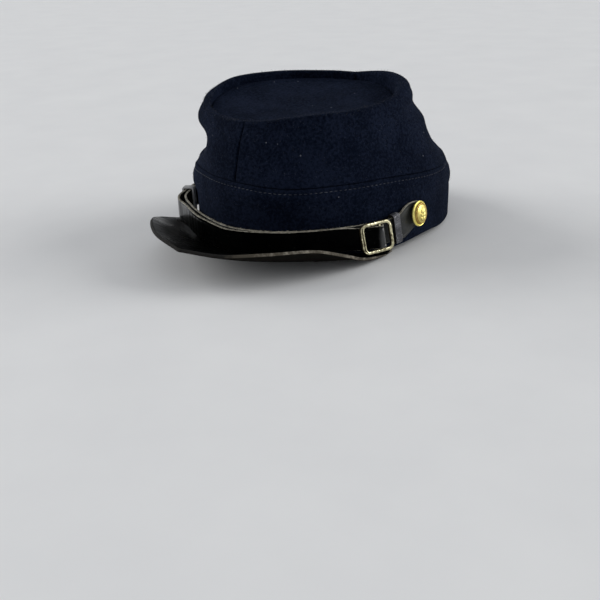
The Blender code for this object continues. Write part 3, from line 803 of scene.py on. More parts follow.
@dataclass(frozen=True)
class SewingThread(Finish):
    """Dull dark blue thread, paler where it is worn."""

    blue: Triple = (0.008, 0.012, 0.024)
    pale: Triple = (0.070, 0.078, 0.100)

    def wire(self, wiring: Wiring) -> dict[str, Any]:
        """Worn stretches in the colour and fuzz in the normal."""
        nap = Nap().on(wiring, wiring.place(), Lint=0.5)
        worn = wiring.span(wiring.plus(nap["Cloud"], wiring.times(nap["Mottle"], 0.5)), 0.68, 0.92)
        return {
            "Base Color": wiring.mix(worn, self.blue, self.pale),
            "Roughness": wiring.span(nap["Fuzz"], 0.3, 0.7, 0.6, 0.9),
            "Normal": wiring.bump(nap["Fuzz"], 0.00015),
        }


@dataclass(frozen=True)
class PaleFloor(Finish):
    """Pale plaster, faintly mottled."""

    grey: Triple = (0.76, 0.76, 0.76)
    pale: Triple = (0.84, 0.84, 0.83)

    def wire(self, wiring: Wiring) -> dict[str, Any]:
        """A faint mottle in the colour."""
        mottle = wiring.noise(wiring.place(), 14.0, 6.0, 0.6)
        return {
            "Base Color": wiring.mix(mottle, self.grey, self.pale),
            "Roughness": wiring.span(mottle, 0.3, 0.7, 0.8, 0.95),
        }


CLOTH = WoolCloth("navy wool cloth")
FLESH = FleshSide("leather flesh side")
VISOR_LEATHER = (
    PolishedLeather("polished black leather"),
    CutEdge("visor edge", pale=(0.34, 0.31, 0.25), brown=(0.070, 0.060, 0.045)),
    FLESH,
)
STRAP_LEATHER = (
    PolishedLeather("black strap leather"),
    CutEdge("cut leather edge", pale=(0.46, 0.43, 0.35), brown=(0.085, 0.075, 0.055)),
    FLESH,
)
WORN_STRAP_LEATHER = (
    PolishedLeather(
        "worn strap leather",
        (0.010, 0.011, 0.011),
        (0.040, 0.042, 0.039),
        (0.060, 0.060, 0.055),
        (0.34, 0.50),
        shine=0.30,
    ),
    *STRAP_LEATHER[1:],
)
KEEPER_LEATHER = (
    PolishedLeather(
        "keeper leather",
        (0.045, 0.045, 0.052),
        (0.42, 0.42, 0.45),
        (0.46, 0.46, 0.48),
        (0.34, 0.50),
        stripes=25.0,
        shine=0.40,
    ),
    CutEdge("keeper edge", pale=(0.60, 0.60, 0.60), brown=(0.20, 0.20, 0.20)),
    FLESH,
)
# The right keeper is the left keeper's leather made pale: a painted highlight where the left light
# falls on it.
KEEPER_LEATHER_PAINTED_LIGHT = (
    PolishedLeather(
        "keeper leather painted light",
        (0.35, 0.35, 0.34),
        (0.80, 0.80, 0.78),
        (0.80, 0.80, 0.78),
        (0.40, 0.60),
        shine=0.40,
    ),
    *KEEPER_LEATHER[1:],
)
SLIDE_BRASS = OldBrass("worn slide brass")
BUTTON_GILT = OldBrass(
    "gilt button brass",
    (1.0, 0.88, 0.28),
    (0.24, 0.10, 0.010),
    (0.46, 0.30),
    tarnish=0.30,
    dent=0.00003,
)
THREAD = SewingThread("dark sewing thread")


# Ways of making pieces


def lay_patch(
    columns: int,
    rows: int,
    place: Place,
    flat: Flat,
    kind: Callable[[int, int], int] | None = None,
    closed: bool = False,
) -> Shape:
    """Lays a grid of faces on a surface and charts it.

    Args:
        columns: faces along the surface.
        rows: faces across it.
        place: gives a grid point its place, from the middle of the head.
        flat: gives a grid point its place on the piece's flat map, in metres.
        kind: gives a face its material slot.
        closed: True to join edges and poles that meet.

    Returns:
        The shape, still open for more work.
    """
    shape = bmesh.new()
    chart = shape.loops.layers.uv.new(CHART)
    bmesh.ops.create_grid(shape, x_segments=columns, y_segments=rows, size=0.5)

    def cell(co: Vector) -> Pair:
        """The column and row of a point of the plain grid."""
        return (co.x + 0.5) * columns, (co.y + 0.5) * rows

    for face in shape.faces:
        for loop in face.loops:
            column, row = cell(loop.vert.co)
            loop[chart].uv = flat(round(column), round(row))
        if kind:
            column, row = cell(face.calc_center_median())
            face.material_index = kind(int(column), int(row))
    for vert in shape.verts:
        column, row = cell(vert.co)
        vert.co = place(round(column), round(row)) + HEAD_CENTRE
    if closed:
        bmesh.ops.remove_doubles(shape, verts=shape.verts, dist=MERGE)
    return shape


def close_up(shape: Shape, kind: int = 0) -> None:
    """Closes a shape's open ends, gives the new faces a slot and points all faces outwards."""
    open_edges = [edge for edge in shape.edges if edge.is_boundary]
    if open_edges:
        for face in bmesh.ops.holes_fill(shape, edges=open_edges)["faces"]:
            face.material_index = kind
    bmesh.ops.recalc_face_normals(shape, faces=shape.faces)


def make_mesh(name: str, shape: Shape, finishes: Iterable[Finish]) -> bpy.types.Mesh:
    """Turns a shape, which is used up, into a mesh with a finish for each material slot."""
    mesh = bpy.data.meshes.new(name)
    shape.to_mesh(mesh)
    shape.free()
    for finish in finishes:
        mesh.materials.append(finish.material())
    return mesh


def put_in_scene(name: str, data: Any) -> bpy.types.Object:
    """Puts a mesh, a light or a camera in the scene."""
    added = bpy.data.objects.new(name, data)
    bpy.context.scene.collection.objects.link(added)
    return added


def finish_piece(
    name: str, shape: Shape, finishes: Iterable[Finish], slot: str, *stands_for: str
) -> bpy.types.Object:
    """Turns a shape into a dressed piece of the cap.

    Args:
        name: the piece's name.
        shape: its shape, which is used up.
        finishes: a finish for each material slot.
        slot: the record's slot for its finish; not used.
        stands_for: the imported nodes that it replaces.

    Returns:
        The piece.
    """
    mesh = make_mesh(name, shape, finishes)
    mesh.shade_smooth()
    piece = put_in_scene(name, mesh)
    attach(piece, "root")
    if stands_for:
        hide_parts(*stands_for)
    LOG.info("%s: %d faces", name, len(mesh.polygons))
    return piece


def thicken(piece: bpy.types.Object, wall: float) -> None:
    """Makes a sheet a wall that grows under its face."""
    solidify = piece.modifiers.new("wall", "SOLIDIFY")
    solidify.thickness = wall
    solidify.offset = -1
    solidify.use_even_offset = True


def add_rod(
    shape: Shape, middle: Vector, reach: Vector, segments: int, foot: float, tip: float
) -> list[bmesh.types.BMVert]:
    """Adds a straight rod or fibre to a shape.

    Args:
        shape: the shape that takes it.
        middle: where its middle is.
        reach: the way from its foot to its tip.
        segments: how many faces go round it.
        foot: its radius at the foot.
        tip: its radius at the tip.

    Returns:
        Its points.
    """
    turn = reach.to_track_quat("Z", "Y").to_matrix().to_4x4()
    return bmesh.ops.create_cone(
        shape,
        cap_ends=True,
        segments=segments,
        radius1=foot,
        radius2=tip,
        depth=reach.length,
        matrix=Matrix.Translation(middle) @ turn,
    )["verts"]


def mark_points(shape: Shape, name: str, value: Callable[[Vector], float]) -> None:
    """Gives each point of a shape a number that its finish reads.

    Args:
        shape: the shape.
        name: what the number is called.
        value: gives the number at a place, measured from the middle of the head.
    """
    layer = shape.verts.layers.float.new(name)
    for vert in shape.verts:
        vert[layer] = value(vert.co - HEAD_CENTRE)


# The cloth


@dataclass
class Band:
    """The upright band: one wall of wool, rolled at the rim and at the seam."""

    form: CapShape
    wall: float = 0.0028
    seam_roll: float = 0.0013
    rim_roll: float = 0.0015
    stitch_drop: float = 0.0029
    stitch_width: float = 0.0006
    stitch_pull: float = 0.00022
    stitch_pucker: float = 0.00020
    allowance: float = 0.0078
    allowance_height: float = 0.0004
    strap_top: float = 0.60
    strap_end: float = 96.0
    girth: float = 0.594
    columns: int = 420
    face_rows: int = 56

    def outer(self, angle: float, share: float) -> tuple[Vector, Vector, float]:
        """A point of the outer face with what sewing and handling did to it.

        Args:
            angle: where it is round the head.
            share: how far up it is, from the rim (0) to the seam (1).

        Returns:
            The point, its outward direction and the height of the wall there.
        """
        point, outward = self.form.band_point(angle, share)
        top, _ = self.form.band_point(angle, 1.0)
        height = top.z - self.form.rim_z(angle)
        below = (1 - share) * height
        # The cloth stays flat under the strap and at the rim
        under_strap = abs(angle) < self.strap_end
        free = ease((share - self.strap_top) / 0.2) if under_strap else ease(share / 0.3)
        out = soft_waves(point) * free
        out += self.allowance_height * (1 - ease((below - self.allowance + 0.001) / 0.002))
        pull = math.exp(-(((below - self.stitch_drop) / self.stitch_width) ** 2))
        pucker = 0.5 + 0.5 * noise.noise(Vector((angle * 0.45, 3.1, 0.0)))
        out -= (self.stitch_pull + self.stitch_pucker * pucker) * pull
        return point + outward * out, outward, height

    def build(self) -> None:
        """Builds the band."""
        last = self.face_rows
        lip, _ = self.form.band_point(0.0, 1.0)

        def share_of(row: int) -> float:
            """How far up a row of either face is."""
            step = row if row <= last else 2 * last - row
            return 0.5 - 0.5 * math.cos(math.pi * step / last)

        def place(column: int, row: int) -> Vector:
            """Outer face from the rim up, then the inner face down again."""
            angle, share = -180 + 360 * column / self.columns, share_of(row)
            point, outward, height = self.outer(angle, share)
            at_seam = rounding((1 - share) * height, self.seam_roll)
            full = min(rounding(share * height, self.rim_roll), at_seam)
            side = 1 if row <= last else -1
            return point - outward * self.wall / 2 * (1 - side * full)

        def flat(column: int, row: int) -> Pair:
            """Girth and height."""
            rise = share_of(row) if row <= last else 2 - share_of(row)
            return self.girth * column / self.columns, lip.z * rise

        shape = lay_patch(self.columns, 2 * last, place, flat, closed=True)
        close_up(shape)
        finish_piece("band_cloth", shape, (CLOTH,), "navy_wool", "band")


@dataclass
class SeamStitching:
    """The row of stitches just below the band seam."""

    band: Band
    pitch: float = 0.0032
    length: float = 0.0023
    thread: float = 0.00050
    tilt: float = 0.16
    lift: float = 0.00008
    seed: int = 7

    def build(self) -> None:
        """Builds the stitches as one piece."""
        shape = bmesh.new()
        dice = random.Random(self.seed)
        angle = -180.0
        while angle < 180.0:
            here, outward, height = self.band.outer(angle, 1.0)
            share = 1 - self.band.stitch_drop / height
            here, outward, _ = self.band.outer(angle, share)
            ahead, _, _ = self.band.outer(angle + 0.5, share)
            along = (ahead - here).normalized()
            tilt = Matrix.Rotation(dice.uniform(-self.tilt, self.tilt), 3, outward)
            across = tilt @ outward.cross(along)
            along = tilt @ along
            turn = Matrix((along, across, outward)).transposed().to_4x4()
            length = self.length * dice.uniform(0.85, 1.1)
            size = Vector((length, self.thread, self.thread * 0.8)) / 2
            place = Matrix.Translation(here + HEAD_CENTRE + outward * self.lift)
            scale = Matrix.Diagonal((*size, 1.0))
            bmesh.ops.create_uvsphere(
                shape, u_segments=6, v_segments=5, radius=1.0, matrix=place @ turn @ scale
            )
            angle += math.degrees(self.pitch / (ahead - here).length * math.radians(0.5))
        finish_piece("seam_stitches", shape, (THREAD,), "navy_wool")


@dataclass
class Crown:
    """The crown: two halves of its side with a rolled lip, and the sunk top inside the lip."""

    form: CapShape
    wall: float = 0.0020
    seam_half_gap: float = 0.0003
    front_roll: float = 0.0015
    seam_roll: float = 0.0011
    seam_depth: float = 0.0012
    allowance_height: float = 0.00025
    height: float = 0.045
    tuck: float = 0.0036
    middle_depth: float = 0.0042
    top_reach: float = 0.060
    top_clearance: float = 0.0006
    top_sag: float = 0.0020
    mean_radius: float = 0.09
    strip_half_angle: float = 2.6
    strip_wall: float = 0.0010
    columns: int = 150
    rows: int = 40
    lip_steps: int = 18
    inner_rows: int = 5
    ring_points: int = 300
    rings: int = 46

    def side_point(self, angle: float, share: float, from_seam: float) -> Vector:
        """A point of the side's outer face with its soft waves and rolled-in seams.

        Args:
            angle: where it is round the head.
            share: how far up it is, from the band seam (0) to the lip (1).
            from_seam: how far the front or back seam is, in metres.

        Returns:
            The point.
        """
        point, outward = self.form.crown_point(angle, share)
        height = self.height * share
        sunk = 1 - min(rounding(height, self.seam_roll), rounding(from_seam, self.front_roll))
        # The seams' allowances show through the cloth
        ridge = self.allowance_height * (1 - ease((from_seam - 0.006) / 0.0015))
        ridge += self.allowance_height * (1 - ease((height - 0.007) / 0.0015))
        out = soft_waves(point) + ridge - self.seam_depth * sunk
        return point + outward * out + UP * self.form.gap * (1 - share)

    def lip_point(self, angle: float, turn: float, from_seam: float) -> Vector:
        """A point of the rolled lip.

        Args:
            angle: where it is round the head.
            turn: how far over the roll it is, from outside (0) to inside (180), in degrees.
            from_seam: how far the front or back seam is, in metres.

        Returns:
            The point.
        """
        foot = self.side_point(angle, 1.0, from_seam)
        half_width, front_y, back_y, _, _ = self.form.sections.at(1.0)
        _, outward = self.form.oval(angle, half_width, front_y, back_y)
        radius = self.form.lip.at(angle)[2]
        plump = ease((abs(angle - 130) - 45) / 40) if angle > 0 else 1.0
        power = 2 / (2 + 0.9 * plump)
        a = math.radians(turn)
        inwards = radius * (1 - math.copysign(abs(math.cos(a)) ** power, math.cos(a)))
        return foot - outward * inwards + UP * radius * abs(math.sin(a)) ** power

    def build_side(self, side: Side) -> None:
        """Builds half of the side."""
        along = graded((0.0, 0.0004, 0.0010, 0.0020, 0.0034, 0.0052, 0.0075, 0.0110), self.columns)
        up = graded((0.0, 0.0022, 0.0055, 0.0110, 0.0180, 0.0270, 0.0400), self.rows, both=False)
        start = math.degrees(self.seam_half_gap / self.form.half_width)
        # Below the seam the cloth's allowance hangs inside the band and shuts out the light
        hidden = (-0.0080, -0.0010, 0.0)
        lip_row = len(hidden) + len(up) - 1
        last_row = lip_row + self.lip_steps + self.inner_rows

        def place(column: int, row: int) -> Vector:
            """Up the hidden allowance and the side, over the lip and down inside."""
            share = along[column]
            angle = start + (180 - 2 * start) * share
            if side is Side.RIGHT:
                angle -= 180
            from_seam = min(share, 1 - share) * math.pi * self.mean_radius
            if row < len(hidden):
                _, outward = self.form.crown_point(angle, 0.0)
                tucked = self.side_point(angle, 0.0, from_seam) - outward * self.tuck
                return tucked + UP * hidden[row]
            if row <= lip_row:
                return self.side_point(angle, up[row - len(hidden)], from_seam)
            if row <= lip_row + self.lip_steps:
                return self.lip_point(angle, 180 * (row - lip_row) / self.lip_steps, from_seam)
            down = self.form.lip.at(angle)[3] * (row - lip_row - self.lip_steps) / self.inner_rows
            return self.lip_point(angle, 180, from_seam) - UP * down

        def flat(column: int, row: int) -> Pair:
            """Girth and height."""
            over = max(row - lip_row, 0) * 0.0006 + min(row - len(hidden), 0) * 0.003
            rise = up[min(max(row - len(hidden), 0), len(up) - 1)]
            return 0.25 * along[column], 0.046 * rise + over

        name = "crown_side_" + side.name.lower()
        shape = lay_patch(len(along) - 1, last_row, place, flat)
        thicken(finish_piece(name + "_cloth", shape, (CLOTH,), "navy_wool", name), self.wall)

    def build_top(self) -> None:
        """Builds the sunk top, whose edge turns down where it is sewn to the lip."""
        half_width, front_y, back_y, front_z, back_z = self.form.sections.at(1.0)
        middle_z = (front_z + back_z) / 2 + self.wall - self.middle_depth
        middle = Vector((0.0, (front_y + back_y) / 2, middle_z))
        inwards = graded((0.0, 0.003, 0.008, 0.014, 0.022, 0.034, 0.050), self.rings, both=False)
        # Past its edge the cloth's allowance turns out under the lip and shuts out the light
        hidden = ((0.0018, 0.0030), (0.0001, 0.0025))

        def place(column: int, row: int) -> Vector:
            """From the hidden allowance over the edge and in to the middle."""
            angle = -180 + 360 * column / self.ring_points
            top, _ = self.form.crown_point(angle, 1.0)
            turn = math.radians(angle)
            top += soft_waves(top) * Vector((math.sin(turn), -math.cos(turn), 0))
            _, outward = self.form.oval(angle, half_width, front_y, back_y)
            _, _, radius, depth = self.form.lip.at(angle)
            edge = top - outward * (2 * radius + self.top_clearance) - UP * (depth - self.wall)
            if row < len(hidden):
                out, down = hidden[row]
                return edge + outward * out - UP * down
            share = inwards[row - len(hidden)]
            from_edge = share * self.top_reach
            point = edge.lerp(middle, share)
            sunk = 0.0010 * (1 - rounding(from_edge, 0.0020))
            ridge = 0.00035 * (1 - ease((from_edge - 0.0065) / 0.0015))
            wave = soft_waves(point * 0.8) * 1.6 * ease(from_edge / 0.012)
            return point + UP * (wave + ridge - sunk - self.top_sag * hill(1 - share))

        def flat(column: int, row: int) -> Pair:
            """The place seen from above."""
            point = place(column, row)
            return point.x, point.y

        rows = len(hidden) + len(inwards) - 1
        shape = lay_patch(self.ring_points, rows, place, flat, closed=True)
        piece = finish_piece("crown_top_cloth", shape, (CLOTH,), "navy_wool", "crown_top")
        thicken(piece, self.wall)

    def build_seam_strip(self, name: str, middle: float) -> None:
        """Builds the cloth strip that lies behind the front or back seam and shuts out the light.

        Args:
            name: which seam it is.
            middle: the seam's angle.
        """
        columns, rows = 8, 40

        def place(column: int, row: int) -> Vector:
            """Across the seam and up it, just inside the wall."""
            angle = middle + self.strip_half_angle * (2 * column / columns - 1)
            share = row / rows
            _, outward = self.form.crown_point(angle, share)
            return self.side_point(angle, share, 1.0) - outward * (self.wall + 0.0007)

        def flat(column: int, row: int) -> Pair:
            """Across and up."""
            return 0.008 * column / columns, self.height * row / rows

        strip = lay_patch(columns, rows, place, flat)
        piece = finish_piece(f"crown_{name}_seam_strip", strip, (CLOTH,), "navy_wool")
        thicken(piece, self.strip_wall)

    def build(self) -> None:
        """Builds the side, the top and the strips behind the side's seams."""
        for side in Side:
            self.build_side(side)
        self.build_top()
        self.build_seam_strip("front", 0.0)
        self.build_seam_strip("back", 180.0)


@dataclass
class LooseFibres:
    """Fine fibres that stand off the napped cloth of the band, the crown and its lip."""

    band: Band
    crown: Crown
    count: int = 3000
    length: Pair = (0.0006, 0.0018)
    radius: float = 0.00005
    on_band: float = 0.2
    below_lip: float = 0.6
    seed: int = 5

    def foot(self, dice: random.Random) -> tuple[Vector, Vector]:
        """A random place on the cloth and the direction away from it."""
        angle, pick = dice.uniform(-180, 180), dice.random()
        if pick < self.on_band:
            point, outward, _ = self.band.outer(angle, dice.uniform(0.64, 0.97))
            return point, outward
        _, outward = self.crown.form.crown_point(angle, 1.0)
        if pick < self.below_lip:
            return self.crown.side_point(angle, dice.uniform(0.03, 1.0), 1.0), outward
        turn = dice.uniform(0, 150)
        away = outward * math.cos(math.radians(turn)) + UP * math.sin(math.radians(turn))
        return self.crown.lip_point(angle, turn, 1.0), away

    def build(self) -> None:
        """Builds the fibres as one piece."""
        shape = bmesh.new()
        dice = random.Random(self.seed)
        for _ in range(self.count):
            foot, away = self.foot(dice)
            strewn = Vector((dice.uniform(-1, 1), dice.uniform(-1, 1), dice.uniform(-1, 1)))
            reach = (away + strewn * 1.1).normalized() * dice.uniform(*self.length)
            middle = foot + HEAD_CENTRE + reach * 0.4
            add_rod(shape, middle, reach, 3, self.radius, self.radius * 0.4)
        finish_piece("loose_wool_fibres", shape, (THREAD,), "navy_wool")


# The leather


@dataclass
class Visor:
    """The leather visor: a crescent with a pressed line along its cut edge."""

    form: CapShape
    wall: float = 0.0022
    end_angle: float = 68.0
    press_inset: float = 0.0032
    press_width: float = 0.0004
    press_depth: float = 0.00022
    edge_round: float = 0.0006
    columns: int = 190
    face_rows: int = 44
    reach: float = 1.9
    chart_width: float = 0.09
    # The rows that crowd at the edge, from the edge inwards
    fine_rows = (
        0.0, 0.0012, 0.003, 0.006, 0.010, 0.015, 0.022, 0.030, 0.040, 0.050, 0.060, 0.070, 0.085
    )

    def frame(self, angle: float, share: float) -> tuple[Vector, Vector]:
        """A point of the upper face and the direction away from it."""
        step, turn = 0.002, 0.3
        near, far = max(share - step, 0.0), max(share - step, 0.0) + 2 * step
        point = self.form.visor_point(angle, share)
        round_head = self.form.visor_point(angle + turn, max(share, 0.0))
        round_head -= self.form.visor_point(angle - turn, max(share, 0.0))
        outwards = self.form.visor_point(angle, far) - self.form.visor_point(angle, near)
        return point, outwards.cross(round_head).normalized()

    def build(self) -> None:
        """Builds the visor."""
        to_root = graded(self.fine_rows, self.face_rows, both=False)
        shares = [1 - self.reach * place for place in to_root[::-1]]
        last = len(shares) - 1

        def place(column: int, row: int) -> Vector:
            """Upper face from the root to the edge, then the underside back."""
            angle = self.end_angle * (2 * column / self.columns - 1)
            share = shares[row if row <= last else 2 * last - row]
            point, away = self.frame(angle, share)
            edge = self.form.visor_point(angle, 1.0)
            from_edge = (1 - share) * (edge - self.form.visor_point(angle, 0.0)).length
            full = rounding(from_edge, self.edge_round, 3.0)
            if row <= last:
                pressed = math.exp(-(((from_edge - self.press_inset) / self.press_width) ** 2))
                return point - away * (self.wall / 2 * (1 - full) + self.press_depth * pressed)
            return point - away * self.wall / 2 * (1 + full)

        def flat(column: int, row: int) -> Pair:
            """Along the edge and out to it."""
            return 0.28 * column / self.columns, self.chart_width * row / (2 * last)

        def kind(_column: int, row: int) -> int:
            """Grain above, flesh below and the cut edge between."""
            steps = row - last
            if -3 <= steps < 1:
                return Leather.EDGE.value
            return Leather.GRAIN.value if steps < 0 else Leather.FLESH.value

        shape = lay_patch(self.columns, 2 * last, place, flat, kind, closed=True)
        close_up(shape, Leather.EDGE.value)
        mark_points(shape, "dye", lambda spot: 0.15 + 1.1 * ease((0.045 - spot.x) / 0.030))
        polish = shape.verts.layers.float.new("polish")
        chart = shape.loops.layers.uv[CHART]
        for loop in (loop for face in shape.faces for loop in face.loops):
            share = shares[min(round(loop[chart].uv.y / self.chart_width * 2 * last), last)]
            on_right = ease((-0.015 - loop.vert.co.x) / 0.035)
            loop.vert[polish] = 0.85 * ease((share - 0.68) / 0.30) * on_right
        finish_piece("visor_leather", shape, VISOR_LEATHER, "black_leather", "visor")


@dataclass(frozen=True)
class StrapPoint:
    """A point of a strap's middle line, with the direction across the strap and its width."""

    middle: Vector
    across: Vector
    width: float


@dataclass
class Ribbon:
    """A flat piece of cut leather along a line of points, with softened edges."""

    points: list[StrapPoint]
    wall: float = 0.0016
    corner: float = 0.00035
    press_inset: float = 0.0019
    press_depth: float = 0.00016
    raggedness: float = 0.00024
    loop: bool = False
    # What the faces of the section are, from its upper right corner round
    edge, grain, flesh = (Leather.EDGE,), (Leather.GRAIN,), (Leather.FLESH,)
    faces = edge * 2 + grain * 15 + edge * 5 + flesh * 3 + edge * 3
    # How far across (mm) and how deep (as a share) each point of the pressed line is
    pressed = ((0.5, 0.0), (0.2, 0.6), (0.0, 1.0), (-0.2, 0.6), (-0.5, 0.0))

    def section(self, width: float) -> list[Pair]:
        """The cut through the ribbon.

        Args:
            width: its width there.

        Returns:
            How far across and how far out each point is, one for each of the faces.
        """
        half, thick, corner = width / 2, self.wall / 2, self.corner
        inset = min(self.press_inset, half * 0.5)

        def rounded(degrees: float) -> Pair:
            """A point of a corner, from its side (0) to its face (90)."""
            turn = math.radians(degrees)
            a = half - corner + corner * math.cos(turn)
            return a, thick - corner + corner * math.sin(turn)

        over = [rounded(degrees) for degrees in (0, 30, 60, 90)]
        for offset, depth in self.pressed:
            over.append((half - inset + offset * 0.001, thick - depth * self.press_depth))
        over.append((half * 0.4, thick))
        under = [rounded(degrees) for degrees in (0, 45, 90)] + [(half * 0.4, thick)]
        across = [(-a, b) for a, b in over[::-1]] + [(-a, -b) for a, b in under]
        return over + across + [(a, -b) for a, b in under[::-1]]

    def shape(self) -> Shape:
        """Builds the ribbon's shape."""
        count = len(self.points)
        sections = [self.section(point.width) for point in self.points]
        around = len(self.faces)
        outs, lengths = [], [0.0]
        for i, point in enumerate(self.points):
            before = self.points[(i - 1) % count if self.loop else max(i - 1, 0)]
            after = self.points[(i + 1) % count if self.loop else min(i + 1, count - 1)]
            outs.append((after.middle - before.middle).cross(point.across).normalized())
            following = self.points[(i + 1) % count].middle
            lengths.append(lengths[-1] + (following - point.middle).length)

        def place(column: int, row: int) -> Vector:
            """Round the section at each point."""
            i = column % count
            point, out = self.points[i], outs[i]
            a, b = sections[i][row % around]
            if abs(a) > point.width / 2 - self.corner:
                spot = Vector((lengths[i] * 700.0, math.copysign(4.0, a), b * 900.0))
                a += self.raggedness * noise.noise(spot)
            return point.middle + point.across * a + out * b

        def flat(column: int, row: int) -> Pair:
            """Along the ribbon and round it."""
            return lengths[column], 0.034 * row / around

        def kind(_column: int, row: int) -> int:
            """What the section's face is."""
            return self.faces[row].value

        columns = count if self.loop else count - 1
        shape = lay_patch(columns, around, place, flat, kind, closed=True)
        close_up(shape, Leather.EDGE.value)
        return shape


def through(points: list[StrapPoint], spacing: float) -> list[StrapPoint]:
    """Draws a smooth line through strap points.

    Args:
        points: points that the line goes through.
        spacing: about how far apart the new points are.

    Returns:
        The new points.
    """
    drawn = []
    for i in range(len(points) - 1):
        before, start = points[max(i - 1, 0)], points[i]
        end, after = points[i + 1], points[min(i + 2, len(points) - 1)]
        steps = max(round((end.middle - start.middle).length / spacing), 1)
        for step in range(steps):
            t = step / steps
            leave, arrive = (end.middle - before.middle) / 2, (after.middle - start.middle) / 2
            middle = glide(start.middle, end.middle, leave, arrive, t)
            across = start.across.lerp(end.across, t).normalized()
            drawn.append(StrapPoint(middle, across, start.width + (end.width - start.width) * t))
    return drawn + [points[-1]]


@dataclass
class ChinStrap:
    """The two straps of the chin strap, the end turned round the slide's bar, and the keepers."""

    form: CapShape
    slide: "SlideBuckle"
    wall: float = 0.0016
    bar_gap: float = 0.00045
    button_angle: float = 79.3
    spacing: float = 0.0013
    keeper_wall: float = 0.0014
    keeper_clearance: float = 0.0007
    keeper_corner: float = 0.0013
    twist_length: float = 0.0160
    tail: Triple = (0.0070, 0.0088, 0.0104)
    fibre_radius: Pair = (0.00010, 0.00028)
    fibre_tip: float = 0.00003
    fibre_length: Pair = (0.0003, 0.0011)
    seed: int = 11

    # angle, distance from the wall, height of the middle, width
    inner = Curve(
        (-67.0, 0.0042, 0.0209, 0.0148),
        (-63.5, 0.0063, 0.0208, 0.0148),
        (-60.0, 0.0077, 0.0206, 0.0148),
        (-55.0, 0.0084, 0.0205, 0.0148),
        (-49.0, 0.0096, 0.0201, 0.0148),
        (-44.0, 0.0083, 0.0194, 0.0148),
        (-38.0, 0.0058, 0.0187, 0.0148),
        (-32.0, 0.0038, 0.0180, 0.0148),
        (-26.0, 0.0024, 0.0175, 0.0148),
        (-17.0, 0.0016, 0.0171, 0.0148),
        (-10.0, 0.0023, 0.0169, 0.0148),
        (0.0, 0.0037, 0.0169, 0.0148),
        (15.0, 0.0028, 0.0167, 0.0148),
        (35.0, 0.0015, 0.0168, 0.0150),
        (50.0, 0.0012, 0.0168, 0.0152),
        (60.0, 0.0015, 0.0167, 0.0154),
        (63.8, 0.0020, 0.0168, 0.0156),
        (66.4, 0.0029, 0.0173, 0.0162),
        (69.8, 0.0030, 0.0183, 0.0170),
        (72.8, 0.0021, 0.0196, 0.0206),
        (76.0, 0.0014, 0.0214, 0.0200),
        (79.3, 0.0013, 0.0230, 0.0164),
    )
    outer = Curve(
        (-79.3, 0.0013, 0.0230, 0.0164),
        (-76.0, 0.0014, 0.0226, 0.0180),
        (-71.0, 0.0038, 0.0219, 0.0172),
        (-65.0, 0.0082, 0.0212, 0.0152),
        (-60.0, 0.0105, 0.0207, 0.0148),
        (-55.0, 0.0118, 0.0205, 0.0148),
        (-49.0, 0.0142, 0.0200, 0.0148),
        (-44.5, 0.0136, 0.0194, 0.0148),
        (-40.0, 0.0106, 0.0190, 0.0148),
        (-36.0, 0.0083, 0.0185, 0.0148),
        (-31.0, 0.0070, 0.0180, 0.0148),
        (-23.0, 0.0059, 0.0173, 0.0148),
        (-15.0, 0.0052, 0.0170, 0.0148),
        (-7.0, 0.0065, 0.0169, 0.0148),
        (0.0, 0.0080, 0.0169, 0.0148),
        (12.0, 0.0056, 0.0168, 0.0148),
        (25.0, 0.0042, 0.0169, 0.0148),
        (38.0, 0.0036, 0.0173, 0.0150),
        (46.0, 0.0048, 0.0174, 0.0151),
        (51.8, 0.0062, 0.0167, 0.0147),
    )

    def run(self, path: Curve) -> list[StrapPoint]:
        """The points of a strap's middle line along its stations."""
        first, last = path.keys[0], path.keys[-1]
        steps = round(self.form.half_length * math.radians(last - first) / self.spacing)
        points = []
        for step in range(steps + 1):
            angle = first + (last - first) * step / steps
            stand_off, middle_z, width = path.at(angle)
            points.append(StrapPoint(self.form.off_wall(angle, stand_off, middle_z), UP, width))
        return points

    def round_end(self, start: StrapPoint, side: Side) -> list[StrapPoint]:
        """Carries a strap on past its button.

        Args:
            start: the strap's point at the button.
            side: the button's side.

        Returns:
            The points of the half round end, from its tip inwards.
        """
        _, outward = self.form.wall(side.value * self.button_angle)
        away = UP.cross(outward) * side.value
        radius = start.width / 2
        points = []
        for degrees in (5, 14, 23, 32, 42, 52, 62, 72, 81):
            turn = math.radians(degrees)
            middle = start.middle + away * radius * math.cos(turn)
            points.append(StrapPoint(middle, UP, 2 * radius * math.sin(turn)))
        return points

    def turned_end(self, run: list[StrapPoint]) -> list[StrapPoint]:
        """Carries the outer strap on over the slide's bar and back under itself.

        Args:
            run: the strap as far as the slide.

        Returns:
            The points that follow.
        """
        front, back, _, up, out = self.slide.axes()
        bar = front.lerp(back, self.slide.bar_share)
        radius = self.slide.bar_radius + self.bar_gap + self.wall / 2
        width = run[-1].width
        fold = []
        for step in range(13):
            turn = math.radians(15 * step)
            around = out * math.cos(turn) + up.cross(out) * math.sin(turn)
            fold.append(StrapPoint(bar + around * radius, up, width))
        away = (run[-1].middle - fold[0].middle).normalized()
        under = away.cross(up).normalized() * (self.wall + 2 * self.form.gap)
        tail = [
            StrapPoint(fold[0].middle + away * reach + under, up, width) for reach in self.tail
        ]
        return through([StrapPoint(run[-1].middle, up, width)] + fold + tail, 0.0006)

    def lean(self, run: list[StrapPoint]) -> list[StrapPoint]:
        """Twists a strap's end over to the slide's lean, more and more towards the slide."""
        _, _, _, up, _ = self.slide.axes()
        steps = round(self.twist_length / self.spacing)
        ends = [
            StrapPoint(point.middle, UP.lerp(up, ease(step / steps)).normalized(), point.width)
            for step, point in enumerate(run[-steps:], start=1)
        ]
        return run[:-steps] + ends

